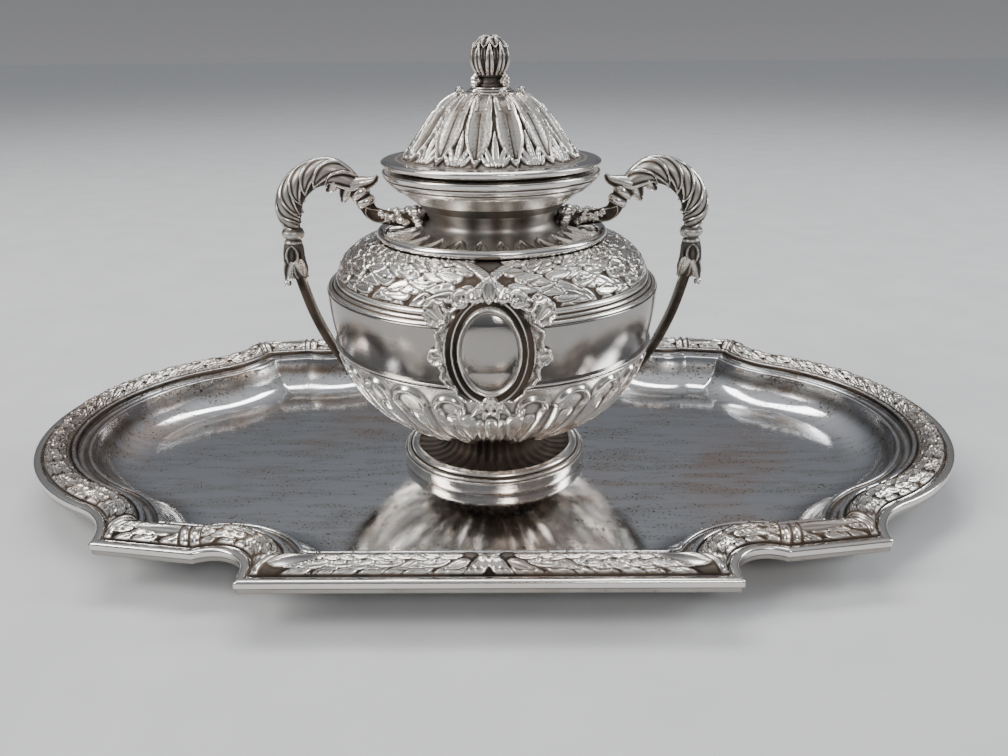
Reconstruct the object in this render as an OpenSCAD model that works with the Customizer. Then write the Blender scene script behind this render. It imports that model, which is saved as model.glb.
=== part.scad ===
// Desk inkstand: a two-handled covered vase with a glass ink liner, standing on a
// shaped tray with a raised garland border. Millimetres, +Z up. The origin is at the
// centre of the tray's flat underside, +X runs along the tray and -Y is the front.

/* [Tray] */
// Half the tray's length, to the tip of an end lobe
tray_half_l = 115.5; // [110:0.5:125]
// Half the tray's width, across the straight central section
tray_half_w = 73.6; // [70:0.2:80]
// Half the length of the straight central section
centre_half = 47.4; // [42:0.2:50]
// Straight drop from the central corner before the scooped corner begins
scoop_drop = 3.8; // [2:0.1:5]
// Radius of the scooped corner
scoop_r = 7.2; // [6:0.1:9]
// How far the side section's inner end lies inside the central section's edge
side_in_y = 9.7; // [7.6:0.1:11.6]
// Distance from the short axis to the side section's outer corner
side_out_x = 80.3; // [77:0.1:84]
// How far the side section's outer corner lies inside the central section's edge
side_out_y = 13.6; // [11.6:0.1:16.6]
// Radius of the round end lobe
lobe_r = 52; // [48:0.5:54]
// Thickness of the tray's metal
sheet = 1.2; // [0.8:0.1:1.6]
// Height of the plain edge band's top above the tray floor
edge_top = 9.7; // [8:0.1:12]
// Height of the plain edge band
band_h = 3; // [2:0.1:4]
// Width of the plain edge band
band_w = 2; // [1.5:0.1:2.4]
// Width of the garland moulding
garland_w = 6.4; // [5:0.1:7]
// Height of the garland moulding above the edge band
garland_h = 3.3; // [2:0.1:4.5]
// Width of the stepped ledge inside the garland
ledge_w = 4.5; // [3:0.1:6]
// Depth of the stepped ledge below the edge band
ledge_drop = 1.8; // [1:0.1:3]
// Width of the hollow-curved wall between ledge and floor
wall_w = 12; // [8:0.5:13]

/* [Vase] */
// Radius of the foot
foot_r = 23.6; // [21:0.1:26]
// Height of the foot's plain upright edge
foot_edge_h = 2.7; // [2:0.1:4]
// Height of the whole foot ring
foot_ring_h = 4.9; // [4.2:0.1:6]
// Radius of the stem at its waist
stem_r = 12; // [10:0.1:13]
// Height of the bowl's bottom above the tray floor
bowl_z = 11.4; // [10:0.1:14]
// Radius of the bowl's bottom, where it meets the stem
bowl_bottom_r = 13.5; // [12.5:0.1:15]
// Radius of the plain belt at its upper edge
belt_top_r = 40.2; // [38.5:0.1:43]
// How much narrower the belt is at its lower edge
belt_taper = 1.9; // [1:0.1:3]
// Height of the belt's lower edge above the tray floor
belt_low_z = 33.6; // [31:0.1:36]
// Height of the belt
belt_h = 14.1; // [12:0.1:17]
// Half thickness of the round wire under the belt
belt_bead_r = 0.9; // [0.6:0.05:1.1]
// Wall of the vase
vase_wall = 1; // [0.7:0.1:1.3]
// Radius where the shoulder meets the neck ring
shoulder_in_r = 26.6; // [25:0.1:28]
// Height of the shoulder above the belt
shoulder_h = 11; // [9:0.1:13]
// Radius of the neck at its waist
neck_waist_r = 15.2; // [14.5:0.1:17]
// Radius of the neck where it flares out into the rim
neck_top_r = 23.1; // [22.8:0.1:23.8]
// Height of the neck above the shoulder
neck_h = 11.8; // [11:0.1:14]
// Outer radius of the flared rim
rim_r = 25.7; // [24.8:0.1:28]
// Height of the rim moulding
rim_h = 4.1; // [3.6:0.1:5]
// Height that the rim's inner lip stands above the rim moulding
lip_h = 0.9; // [0.5:0.1:1.5]
// Half thickness of the round wire between shoulder and neck
neck_bead_r = 1.05; // [0.8:0.05:1.2]
// Radius of the bore in the rim, above the shelf that carries the glass
bore_r = 21.2; // [20.6:0.1:21.8]

/* [Cartouche] */
// Width of the plain oval medallion
medal_w = 11.9; // [10:0.1:13]
// Height of the plain oval medallion
medal_h = 17.6; // [15:0.1:18]
// Width of the moulded oval frame
frame_w = 19; // [17:0.1:21]
// Height of the moulded oval frame
frame_h = 23; // [21:0.1:24]
// How far the ornament stands out from the belt
cartouche_t = 2; // [1.4:0.1:3]
// Height of the medallion's centre above the belt's lower edge
medal_up = 8.8; // [8:0.1:10]

/* [Handles] */
// Radius of the handle's middle line at its widest
handle_out_r = 48.6; // [47:0.1:51]
// Height of the handle's middle line at its top, above the tray floor
handle_top_z = 73.7; // [73:0.1:76]
// Half width of the handle's scroll at its thickest
scroll_r = 2.9; // [2.2:0.1:3.1]
// Half width of the thin lower rod
rod_r = 1.3; // [1:0.05:1.5]

/* [Ink glass] */
// Wall of the glass
glass_wall = 2.4; // [1.8:0.1:3]
// Thickness of the bottom of the glass
glass_base = 3.5; // [2:0.1:5]
// Height of the glass below its flange
glass_h = 48; // [40:0.5:52]
// Thickness of the glass flange
flange_t = 2; // [1.5:0.1:2.2]

/* [Lid] */
// Radius of the lid's flange
lid_r = 25.9; // [25:0.1:28]
// Thickness of the lid's flange
lid_flange_t = 1.5; // [1.2:0.1:2]
// Radius of the dome where it rises from the flange
dome_r = 21.2; // [20.9:0.1:23]
// Height of the dome
dome_h = 14.2; // [12:0.1:17]
// Radius of the small crown ring on top of the dome
crown_r = 8.8; // [8:0.1:10]
// Height of the crown ring
crown_h = 1.4; // [1:0.1:2]
// Height of the collar below the finial
collar_h = 2.6; // [2:0.1:4]
// Radius of the finial bud
bud_r = 4.7; // [4:0.1:5.5]
// Height of the finial bud
bud_h = 8.8; // [8:0.1:10]

/* [Fits] */
// Radial gap of the pieces that lift in and out
lift_gap = 0.3; // [0.2:0.05:0.4]
// Radius of the threaded stud that holds the finial
stud_r = 1.5; // [1.2:0.1:1.8]

/* [Hidden] */
$fn = 96;

silver = "#c9c6bf";
old_silver = "#a8a297";
dark_silver = "#8d867a";
clear_glass = "#b9d3cf";

belt_low_r = belt_top_r - belt_taper;

// Heights above the tray floor
belt_top_z = belt_low_z + belt_h;
shoulder_top_z = belt_top_z + shoulder_h;
neck_top_z = shoulder_top_z + neck_h;
rim_top_z = neck_top_z + rim_h;
lip_z = rim_top_z + lip_h;
dome_z = lip_z + lid_flange_t;
crown_z = dome_z + dome_h;
collar_z = crown_z + crown_h;
bud_z = collar_z + collar_h;

// Insets from the tray's outer edge
garland_in = band_w + garland_w;
ledge_in = garland_in + ledge_w;
floor_in = ledge_in + wall_w;
flange_z = edge_top - 0.3;
ledge_z = edge_top - ledge_drop;

// The bore of the rim and what sits in it
seat_z = neck_top_z - 0.5;
glass_r = neck_waist_r - vase_wall - lift_gap - 0.4;
flange_r = bore_r - lift_gap;
ledge_r = glass_r + lift_gap + 0.4;
bezel_r = bore_r - lift_gap;
bezel_wall = 1;

// ---------- Curves and lofts ----------

// Point at t on the cubic curve through four control points
function cubic(p, t) =
    pow(1 - t, 3) * p[0] + 3 * t * pow(1 - t, 2) * p[1] + 3 * t * t * (1 - t) * p[2] + pow(t, 3) * p[3];
function curve(p, n) = [for (i = [0 : n]) cubic(p, i / n)];
function backwards(v) = [for (i = [len(v) - 1 : -1 : 0]) v[i]];
function unit(v) = v / norm(v);

// A path's normal at point i, to the left of the way it runs
function along(v, i) = unit(v[min(i + 1, len(v) - 1)] - v[max(i - 1, 0)]);
function left_of(d) = [-d[1], d[0]];
// Closed outline of a wall on the inner side of a path, t wide across
function wall_inside(v, t) = concat(v, backwards([for (p = v) p - [t, 0]]));
// Closed outline of a wall of thickness t on the left of a path
function wall_of(v, t) = concat(v, backwards([for (i = [0 : len(v) - 1]) v[i] + t * left_of(along(v, i))]));

// Point at u on the smooth curve through the points of v
function spline(v, u) =
    let (n = len(v) - 1, i = min(floor(u), n - 1), f = u - i)
    let (a = v[max(i - 1, 0)], b = v[i], c = v[i + 1], d = v[min(i + 2, n)])
    0.5 * (2 * b + (c - a) * f + (2 * a - 5 * b + 4 * c - d) * f * f + (3 * b - a - 3 * c + d) * pow(f, 3));

// Skin over rings of equally many points; each end is a fan from its middle, or the ends are joined by loop
module skin(rings, loop = false) {
    m = len(rings[0]);
    count = len(rings);
    last = count - (loop ? 1 : 2);
    function at(i, j) = (i % count) * m + (j % m);
    sides = [for (i = [0 : last], j = [0 : m - 1], k = [0, 1])
        k == 0 ? [at(i, j), at(i + 1, j), at(i + 1, j + 1)] : [at(i, j), at(i + 1, j + 1), at(i, j + 1)]];
    fans = loop ? [] : [for (j = [0 : m - 1], k = [0, 1])
        k == 0 ? [at(0, j), at(0, j + 1), count * m] : [at(count - 1, j + 1), at(count - 1, j), count * m + 1]];
    function middle(r) = [for (x = [0 : 2]) [for (p = r) p[x]] * [for (p = r) 1] / m];
    middles = loop ? [] : [middle(rings[0]), middle(rings[count - 1])];
    polyhedron(concat([for (r = rings, p = r) p], middles), concat(sides, fans), convexity = 8);
}

module turned(points) { rotate_extrude() polygon(points); }

// ---------- Tray outline ----------

// Ends of the side section, its inward normal and the normal's angle
side_in = [centre_half + scoop_r * 1.4, tray_half_w - side_in_y];
side_p = [side_out_x, tray_half_w - side_out_y];
side_dir = unit(side_p - side_in);
side_n = [side_dir[1], -side_dir[0]];
side_a = atan2(side_n[1], side_n[0]);
scoop_c = [centre_half + scoop_r, tray_half_w - scoop_drop];
lobe_c = [tray_half_l - lobe_r, 0];
bend_reach = tray_half_l - side_out_x;
bend_r = (pow(bend_reach, 2) + pow(side_p[1], 2)) / (2 * bend_reach) - lobe_r;
bend_c = side_p + [bend_r, 0];
bend_a = atan2(lobe_c[1] - bend_c[1], lobe_c[0] - bend_c[0]) + 360;

// How far round from the side's normal an arc of radius r about c meets the side at inset o
function meet(c, r, o) = acos((o - (c - side_p) * side_n) / r);
function on_arc(c, r, a) = c + r * [cos(a), sin(a)];

// Point at t, from the central corner to the side section, along the scooped corner
function scoop_point(o, t) =
    let (r = scoop_r + o, drop = max(0, scoop_drop - o))
    let (a0 = 180 + asin(max(0, o - scoop_drop) / r), a1 = side_a + 360 + meet(scoop_c, r, o))
    let (u = t * (drop + r * (a1 - a0) * PI / 180))
    u < drop ? [centre_half - o, tray_half_w - o - u] : on_arc(scoop_c, r, a0 + (u - drop) / r * 180 / PI);

SCOOP_STEPS = 8;
BEND_STEPS = 5;
LOBE_STEPS = 9;
// A quarter of the tray's outline at inset o, from the front's middle to the lobe's tip
function quarter(o) =
    let (r = bend_r + o, a0 = side_a + 360 - meet(bend_c, r, o), w = bend_a - 180)
    concat(
        [[0, tray_half_w - o]],
        [for (i = [0 : SCOOP_STEPS]) scoop_point(o, i / SCOOP_STEPS)],
        [for (i = [0 : BEND_STEPS]) on_arc(bend_c, r, a0 + (bend_a - a0) * i / BEND_STEPS)],
        [for (i = [1 : LOBE_STEPS]) on_arc(lobe_c, lobe_r - o, w * (1 - i / LOBE_STEPS))]
    );
function outline(o) =
    let (q = quarter(o), n = len(q))
    concat(
        q,
        [for (i = [n - 2 : -1 : 0]) [q[i][0], -q[i][1]]],
        [for (i = [1 : n - 1]) [-q[i][0], -q[i][1]]],
        [for (i = [n - 2 : -1 : 1]) [-q[i][0], q[i][1]]]
    );
// The outline at inset p[0], p[1] above the tray floor
function tray_ring(p) = [for (v = outline(p[0])) [v[0], v[1], sheet + p[1]]];
module moulding(section, loop = true) { skin([for (p = section) tray_ring(p)], loop); }

// ---------- Tray ----------

// Pressed dish: flat floor, hollow-curved wall, stepped ledge and the flange under the garland
module tray_dish() {
    under = curve([[floor_in + 0.3, -sheet], [floor_in - 7, -sheet],
                   [ledge_in + 1.2, 1.8 - sheet], [ledge_in - 0.7, ledge_z - 1.6]], 7);
    wall = curve([[ledge_in + 0.3, ledge_z - 0.6], [ledge_in + 2.2, 2.5],
                  [floor_in - 6.5, 0], [floor_in, 0]], 7);
    rise = [[garland_in + 0.3, ledge_z - 1.2], [garland_in, flange_z - 1], [band_w, flange_z - 1]];
    step = [[band_w, flange_z], [garland_in, flange_z], [garland_in + 0.4, edge_top + 0.2],
            [garland_in + 0.9, edge_top + 0.3], [garland_in + 1.3, edge_top - 0.1],
            [garland_in + 1.6, ledge_z + 0.1], [ledge_in - 1, ledge_z], [ledge_in - 0.7, ledge_z + 0.3],
            [ledge_in, ledge_z + 0.2]];
    color(old_silver) moulding(backwards(concat(under, rise, step, wall)), false);
}

// Half-round moulding that carries the laurel garland, standing on the flange
module tray_border() {
    n = 9;
    mid = band_w + garland_w / 2;
    rise = edge_top + garland_h - flange_z;
    section = [for (i = [0 : n]) [mid - garland_w / 2 * cos(180 * i / n), flange_z + rise * sin(180 * i / n)]];
    color(silver) moulding(backwards(section));
}

// Plain edge band with softened corners, soldered round the outside
module edge_band() {
    soft = 0.5;
    low = edge_top - band_h;
    color(silver) moulding([
        [band_w, low], [band_w, edge_top - soft], [band_w - soft, edge_top], [soft, edge_top],
        [0, edge_top - soft], [0, low + soft], [soft, low]
    ]);
}

// ---------- Vase ----------

// Foot ring: upright edge with two small steps above it
module foot_ring() {
    step = (foot_ring_h - foot_edge_h) / 3;
    top = foot_edge_h;
    color(silver) translate([0, 0, sheet]) turned([
        [foot_r - 4, 0], [foot_r, 0], [foot_r, top], [foot_r - 0.6, top + 0.2],
        [foot_r - 0.9, top + step], [foot_r - 1.8, top + step + 0.2], [foot_r - 2.2, top + 2 * step],
        [foot_r - 3, top + 2 * step + 0.2], [foot_r - 3.4, foot_ring_h], [foot_r - 4, foot_ring_h]
    ]);
}

// Dished top of the foot and the stem that carries the bowl
module foot_stem() {
    flat = 0.5;
    edge = [foot_r - 4, foot_ring_h - 0.3];
    waist_z = (foot_ring_h + bowl_z) * 0.43;
    dish_z = foot_ring_h - 1.1;
    dish = curve([edge - [flat, 0], [stem_r + 4, dish_z], [stem_r + 1, dish_z], [stem_r, waist_z]], 6);
    top = [bowl_bottom_r, bowl_z];
    stem = curve([[stem_r, waist_z], [stem_r, waist_z + 2], top - [0, 2], top - [0, flat]], 5);
    path = concat([edge], dish, [for (i = [1 : 5]) stem[i]], [top]);
    color(dark_silver) translate([0, 0, sheet]) turned(wall_of(path, vase_wall));
}

bowl_h = belt_low_z - bowl_z;
BOWL = [[bowl_bottom_r, bowl_z], [bowl_bottom_r * 2, bowl_z + bowl_h * 0.07],
        [belt_low_r * 0.95, bowl_z + bowl_h * 0.48], [belt_low_r, belt_low_z]];
function bowl_path() = curve(BOWL, 16);
// Point at t up the bowl's side, moved outwards by a distance
function off_bowl(t, out) = cubic(BOWL, t) - out * left_of(unit(cubic(BOWL, t + 0.01) - cubic(BOWL, t - 0.01)));

// Lower half of the vase, closed at the bottom
module bowl() {
    color(old_silver) translate([0, 0, sheet]) turned(concat(
        [[0, bowl_z]], bowl_path(),
        [[belt_low_r - vase_wall, belt_low_z]],
        backwards([for (p = bowl_path()) if (p[1] > bowl_z + 1 && p[1] < belt_low_z - 1)
            [p[0] - vase_wall * 1.1, p[1] + vase_wall * 0.6]]),
        [[0, bowl_z + vase_wall]]
    ));
}

function belt_path() = curve([[belt_low_r, belt_low_z], [belt_low_r + 1, belt_low_z + belt_h / 3],
                              [belt_top_r, belt_low_z + belt_h * 2 / 3], [belt_top_r, belt_top_z]], 6);
belt_out_r = max([for (p = belt_path()) p[0]]);

// Plain polished belt round the widest part
module belt_band() {
    color(silver) translate([0, 0, sheet]) turned(wall_inside(belt_path(), vase_wall));
}

// Round wire between bowl and belt, lying against both
module belt_bead() {
    behind = 5 * belt_bead_r;
    color(silver) translate([0, 0, sheet]) rotate_extrude()
        difference() {
            translate([belt_low_r, belt_low_z]) circle(r = belt_bead_r, $fn = 24);
            translate([belt_low_r - behind, belt_low_z - behind]) square([behind, 2 * behind]);
            polygon(wall_inside(belt_path(), behind));
        }
}

// Stepped mouldings and the convex shoulder that carries the embossed laurel
module shoulder() {
    step = 1.2;
    base = belt_top_z;
    path = curve([[belt_top_r - 2.7, base + 2 * step], [belt_top_r - 2.9, base + 6.2],
                  [shoulder_in_r + 6, shoulder_top_z - 0.5], [shoulder_in_r, shoulder_top_z]], 10);
    color(old_silver) translate([0, 0, sheet]) turned(concat(
        [[belt_top_r - 4.5, base], [belt_top_r, base], [belt_top_r - 0.6, base + 0.5],
         [belt_top_r - 1.6, base + 0.5], [belt_top_r - 1.8, base + step], [belt_top_r - 2.5, base + step]],
        path,
        [[shoulder_hole_r, shoulder_top_z], [shoulder_hole_r, shoulder_top_z - vase_wall],
         [shoulder_in_r, shoulder_top_z - vase_wall]],
        [for (i = [8 : -1 : 1]) path[i] + [-vase_wall, -0.7 * vase_wall]]
    ));
}

// Round wire where neck and shoulder meet
module neck_ring() {
    color(silver) translate([0, 0, sheet + shoulder_top_z + neck_bead_r]) rotate_extrude()
        translate([shoulder_in_r, 0]) circle(r = neck_bead_r, $fn = 24);
}

neck_foot = [shoulder_in_r - neck_bead_r - 0.1, shoulder_top_z + 0.5];
function neck_path() = curve([neck_foot, [neck_waist_r - 5.2, neck_foot[1] + 1.5],
                              [neck_waist_r - 0.9, neck_top_z - 5.6], [neck_top_r, neck_top_z]], 12);
// The neck's inner side, from the hole in the shoulder up to the rim
shoulder_hole_r = shoulder_in_r - 2.5;
function neck_inside() = let (v = neck_path(), n = len(v) - 1) concat(
    [for (i = [1 : n - 2]) let (p = v[i] + vase_wall * left_of(along(v, i))) if (p[0] < shoulder_hole_r || i > 6) p],
    [v[n] - [vase_wall, 0]]);

// Hollow-curved neck with a narrow waist
module neck() {
    color(old_silver) translate([0, 0, sheet]) turned(concat(
        [[shoulder_hole_r, shoulder_top_z], [neck_foot[0], shoulder_top_z]], neck_path(), backwards(neck_inside())
    ));
}

// Flared rim moulding, the seat of the glass and the lip that the lid rests on
module rim_ring() {
    z = neck_top_z;
    flare = rim_r - neck_top_r;
    shelf_z = seat_z - 1;
    beside = neck_top_r - vase_wall - 0.2;
    color(silver) translate([0, 0, sheet]) turned([
        [ledge_r, shelf_z], [beside - 2.1 * (z - shelf_z), shelf_z], [beside, z], [neck_top_r + 0.3, z],
        [neck_top_r + flare * 0.4, z + 0.8], [neck_top_r + flare * 0.4, z + 1.3],
        [neck_top_r + flare * 0.75, z + 1.9], [neck_top_r + flare * 0.75, z + 2.4],
        [rim_r, z + 2.8], [rim_r, rim_top_z - 0.4], [rim_r - 0.5, rim_top_z],
        [bore_r + 1.4, rim_top_z], [bore_r + 1.4, lip_z], [bore_r, lip_z], [bore_r, seat_z], [ledge_r, seat_z]
    ]);
}

// ---------- Cartouches ----------

medal_z = belt_low_z + medal_up;
function oval(w, h, n = 32) = [for (i = [0 : n - 1]) [w / 2 * cos(360 * i / n), h / 2 * sin(360 * i / n)]];

// Curved layer of thickness t that follows the belt and its wire, proud of them by lift
module belt_layer(lift, t) {
    wire = belt_low_r + belt_bead_r;
    path = concat([[wire, belt_low_z - 5]], [for (p = belt_path()) [max(p[0], wire), p[1]]],
                  [[belt_top_r, shoulder_top_z + 2]]);
    turned(concat([for (p = path) p + [lift, 0]], backwards([for (p = path) p + [lift + t, 0]])));
}

// Flat shape turned upright at the front, cut through the vase's wall
module upright() { translate([0, 0, medal_z]) rotate([90, 0, 0]) linear_extrude(2 * belt_out_r) children(); }

// Outline of the scrolled frame: a broad oval with a crest above, ears beside and a leaf cluster below
module scroll_outline() {
    polygon(oval(frame_w + 4.4, frame_h + 1.6));
    translate([0, frame_h / 2 + 1.6]) circle(3.2, $fn = 24);
    translate([0, -frame_h / 2 + 0.6]) circle(2.4, $fn = 24);
    for (s = [-1, 1]) {
        translate([s * (frame_w / 2 + 1.6), frame_h / 2 - 3.4]) circle(3, $fn = 24);
        translate([s * (frame_w / 2 + 2.2), -1.5]) circle(2.3, $fn = 24);
        translate([s * frame_w * 0.3, frame_h / 2 + 0.4]) circle(2.2, $fn = 24);
    }
}

// Scrolled outer frame with its raised oval moulding
module cartouche() {
    color(silver) translate([0, 0, sheet]) {
        intersection() {
            belt_layer(0.05, cartouche_t * 0.6);
            upright() difference() {
                scroll_outline();
                polygon(oval(medal_w, medal_h));
            }
        }
        intersection() {
            belt_layer(0.05, cartouche_t);
            upright() difference() {
                polygon(oval(frame_w, frame_h));
                polygon(oval(medal_w + 3, medal_h + 2));
            }
        }
    }
}

// Blank convex medallion inside the frame
module medallion() {
    n = 5;
    back = max(belt_out_r, belt_low_r + belt_bead_r) + 0.05;
    rings = [for (i = [0 : n]) let (k = cos(80 * i / n), d = cartouche_t * 0.95 * sin(80 * i / n))
        [for (p = oval(medal_w * k, medal_h * k)) [p[0], -back - d - 0.25, medal_z + p[1]]]];
    foot = [for (p = oval(medal_w, medal_h)) [p[0], -back, medal_z + p[1]]];
    color(silver) translate([0, 0, sheet]) skin(concat([foot], rings));
}

module cartouche_front() { cartouche(); }
module medallion_front() { medallion(); }
module cartouche_back() { rotate(180) cartouche(); }
module medallion_back() { rotate(180) medallion(); }

// ---------- Handles ----------

// The scroll springs from the neck, just above the wire at its foot
scroll_root = neck_path()[5] + [0.9, 0.2];

// Middle line of the scroll: share of the way out, share of the way up, and share of scroll_r
SCROLL = [
    [0, 0, 0.5], [0.14, -0.03, 0.6], [0.28, 0.02, 0.6], [0.39, 0.13, 0.62], [0.455, 0.5, 0.66],
    [0.525, 0.69, 0.72], [0.605, 0.9, 0.84], [0.695, 1, 0.94], [0.84, 0.89, 1], [0.955, 0.58, 1],
    [1, 0.22, 0.94], [0.995, -0.05, 0.72], [0.99, -0.19, 0.66]
];
// The small leaf on the inner side of the scroll that turns up towards the rim
TIP = [[0.51, 0.68, 0.5], [0.45, 0.74, 0.42], [0.4, 0.78, 0.33], [0.36, 0.83, 0.22], [0.335, 0.91, 0.1]];
// Collar and husk, in the same shares
HUSK = [
    [0.99, -0.2, 0.73], [0.99, -0.35, 0.77], [0.992, -0.44, 0.58], [0.995, -0.6, 0.77],
    [0.997, -0.88, 0.81], [0.98, -1.15, 0.66]
];
// The rod below the husk, and how far up the bowl and off it the rod then runs
ROD = [[0.962, -1.31], [0.89, -2.04], [0.8, -2.67]];
ROD_ON_BOWL = [[0.86, 1.9], [0.7, 1.3], [0.55, 1]];

function at_handle(u, v) = scroll_root + [u * (handle_out_r - scroll_root[0]), v * (handle_top_z - scroll_root[1])];
function shaped(line) = [for (p = line) let (m = at_handle(p[0], p[1])) [m[0], m[1], p[2] * scroll_r]];
function rod_line() = concat(
    [for (p = ROD) let (m = at_handle(p[0], p[1])) [m[0], m[1], rod_r]],
    [for (p = ROD_ON_BOWL) let (m = off_bowl(p[0], p[1] * rod_r)) [m[0], m[1], rod_r * 0.95]]
);

// Round bar along the points of a middle line
module bar(line, sides = 10, steps = 3) {
    n = (len(line) - 1) * steps;
    pts = [for (i = [0 : n]) spline(line, i / steps)];
    mid = [for (p = pts) [p[0], p[1]]];
    rings = [for (i = [0 : n])
        let (w = left_of(along(mid, i)), r = pts[i][2])
        [for (k = [0 : sides - 1]) let (a = 360 * k / sides)
            [mid[i][0] + r * cos(a) * w[0], r * sin(a), mid[i][1] + r * cos(a) * w[1]]]];
    translate([0, 0, sheet]) skin([for (i = [n : -1 : 0]) rings[i]]);
}

module scroll() {
    color(old_silver) {
        bar(shaped(SCROLL));
        bar(shaped(TIP), 8, 2);
    }
}
module arm() { color(old_silver) bar(concat(shaped(HUSK), rod_line()), 8); }

module handle_scroll_right() { scroll(); }
module handle_scroll_left() { mirror([1, 0, 0]) scroll(); }
module handle_arm_right() { arm(); }
module handle_arm_left() { mirror([1, 0, 0]) arm(); }

// ---------- Ink glass ----------

// Straight glass liner that hangs by its flange in the rim
module ink_glass() {
    in_r = glass_r - glass_wall;
    low = seat_z - glass_h;
    color(clear_glass) translate([0, 0, sheet]) turned([
        [0, low], [glass_r - 2, low], [glass_r, low + 2], [glass_r, seat_z], [flange_r, seat_z],
        [flange_r, seat_z + flange_t], [in_r, seat_z + flange_t], [in_r, low + glass_base + 2],
        [in_r - 2, low + glass_base], [0, low + glass_base]
    ]);
}

// ---------- Lid ----------

// Flat flange with a rounded edge, resting on the rim's lip
module lid_flange() {
    soft = lid_flange_t / 3;
    color(silver) translate([0, 0, sheet + lip_z]) turned([
        [bezel_r - bezel_wall, 0], [lid_r - soft, 0], [lid_r, soft], [lid_r, lid_flange_t - soft],
        [lid_r - soft, lid_flange_t], [bezel_r - bezel_wall, lid_flange_t]
    ]);
}

// Ring under the flange that keeps the lid centred in the rim
module lid_bezel() {
    low = seat_z + flange_t + lift_gap;
    color(old_silver) translate([0, 0, sheet]) turned([
        [bezel_r - bezel_wall, low], [bezel_r, low], [bezel_r, lip_z], [bezel_r - bezel_wall, lip_z]
    ]);
}

dome_top_r = crown_r - 0.8;
function dome_path() = curve([[dome_r, 0], [dome_r - 4.7, dome_h * 0.32], [crown_r + 5, dome_h - 1.4],
                              [dome_top_r, dome_h]], 12);

// Bell-shaped dome with a flat top that the stud passes through
module lid_dome() {
    t = 0.9;
    color(old_silver) translate([0, 0, sheet + dome_z]) turned(concat(
        dome_path(), [[stud_r, dome_h], [stud_r, dome_h - t], [dome_top_r - 0.2, dome_h - t]],
        backwards([for (p = dome_path()) if (p[1] > 0.5 && p[1] < dome_h - 1) p - [t, 0.4 * t]]),
        [[dome_r - t, 0]]
    ));
}

// Disc on top of the dome, ringed by little scrolls
module crown_ring() {
    curl_r = 0.7;
    curl_w = 1.6;
    curls = 8;
    color(silver) translate([0, 0, sheet + crown_z]) {
        turned([
            [stud_r, 0], [crown_r - curl_r - 0.3, 0], [crown_r - curl_r - 0.5, crown_h * 0.3],
            [bud_r + 0.6, crown_h * 0.4], [bud_r, crown_h * 0.6], [bud_r, crown_h], [stud_r, crown_h]
        ]);
        for (i = [0 : curls - 1]) rotate(360 * (i + 0.5) / curls) translate([crown_r - curl_r, 0, curl_r])
            rotate([90, 0, 0]) cylinder(r = curl_r, h = curl_w, center = true, $fn = 24);
    }
}

// Waisted collar below the finial
module finial_collar() {
    color(silver) translate([0, 0, sheet + collar_z]) turned([
        [stud_r, 0], [bud_r, 0], [bud_r - 0.1, collar_h * 0.3], [bud_r - 1.2, collar_h * 0.55],
        [bud_r - 1.5, collar_h * 0.8], [bud_r - 1.6, collar_h], [stud_r, collar_h]
    ]);
}

// Ribbed bud, hollow where the stud screws in
module finial_bud() {
    n = 12;
    low = 42;
    arc = [for (i = [0 : n]) let (a = low - 90 + (180 - low) * i / n)
        [bud_r * max(0, cos(a)), bud_h * (sin(a) + cos(low)) / (1 + cos(low))]];
    color(silver) translate([0, 0, sheet + bud_z]) turned(concat(
        [[stud_r, 0]], [for (i = [0 : n - 1]) arc[i]], [[0, bud_h], [0, bud_h / 2], [stud_r, bud_h / 2]]
    ));
}

// Threaded stud from the nut under the dome up into the bud
module finial_stud() {
    low = crown_z - 4;
    color(dark_silver) translate([0, 0, sheet + low])
        cylinder(r = stud_r, h = bud_z + bud_h / 2 - low, $fn = 48);
}

// Hexagon nut inside the dome
module finial_nut() {
    nut_h = 2;
    color(dark_silver) translate([0, 0, sheet + crown_z - 0.9 - nut_h]) difference() {
        cylinder(r = 3.2, h = nut_h, $fn = 6);
        translate([0, 0, -1]) cylinder(r = stud_r, h = nut_h + 2, $fn = 48);
    }
}

tray_dish();
tray_border();
edge_band();
foot_ring();
foot_stem();
bowl();
belt_band();
belt_bead();
shoulder();
neck_ring();
neck();
rim_ring();
cartouche_front();
medallion_front();
cartouche_back();
medallion_back();
handle_scroll_left();
handle_scroll_right();
handle_arm_left();
handle_arm_right();
ink_glass();
lid_flange();
lid_bezel();
lid_dome();
crown_ring();
finial_collar();
finial_bud();
finial_stud();
finial_nut();
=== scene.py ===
"""Looks of the desk inkstand: a chased silver tray, a two-handled covered urn and its glass liner.

Every mesh is a grid of points that is pushed out by a relief. The grids are in millimetres, in the
frame of the CAD model, and become metres when the mesh is made. Angles run round the urn from its
front. Each mesh also carries a dirt value per point, which the silver materials read.
"""

import math

import bpy
import numpy as np
from mathutils import Matrix, Vector


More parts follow.
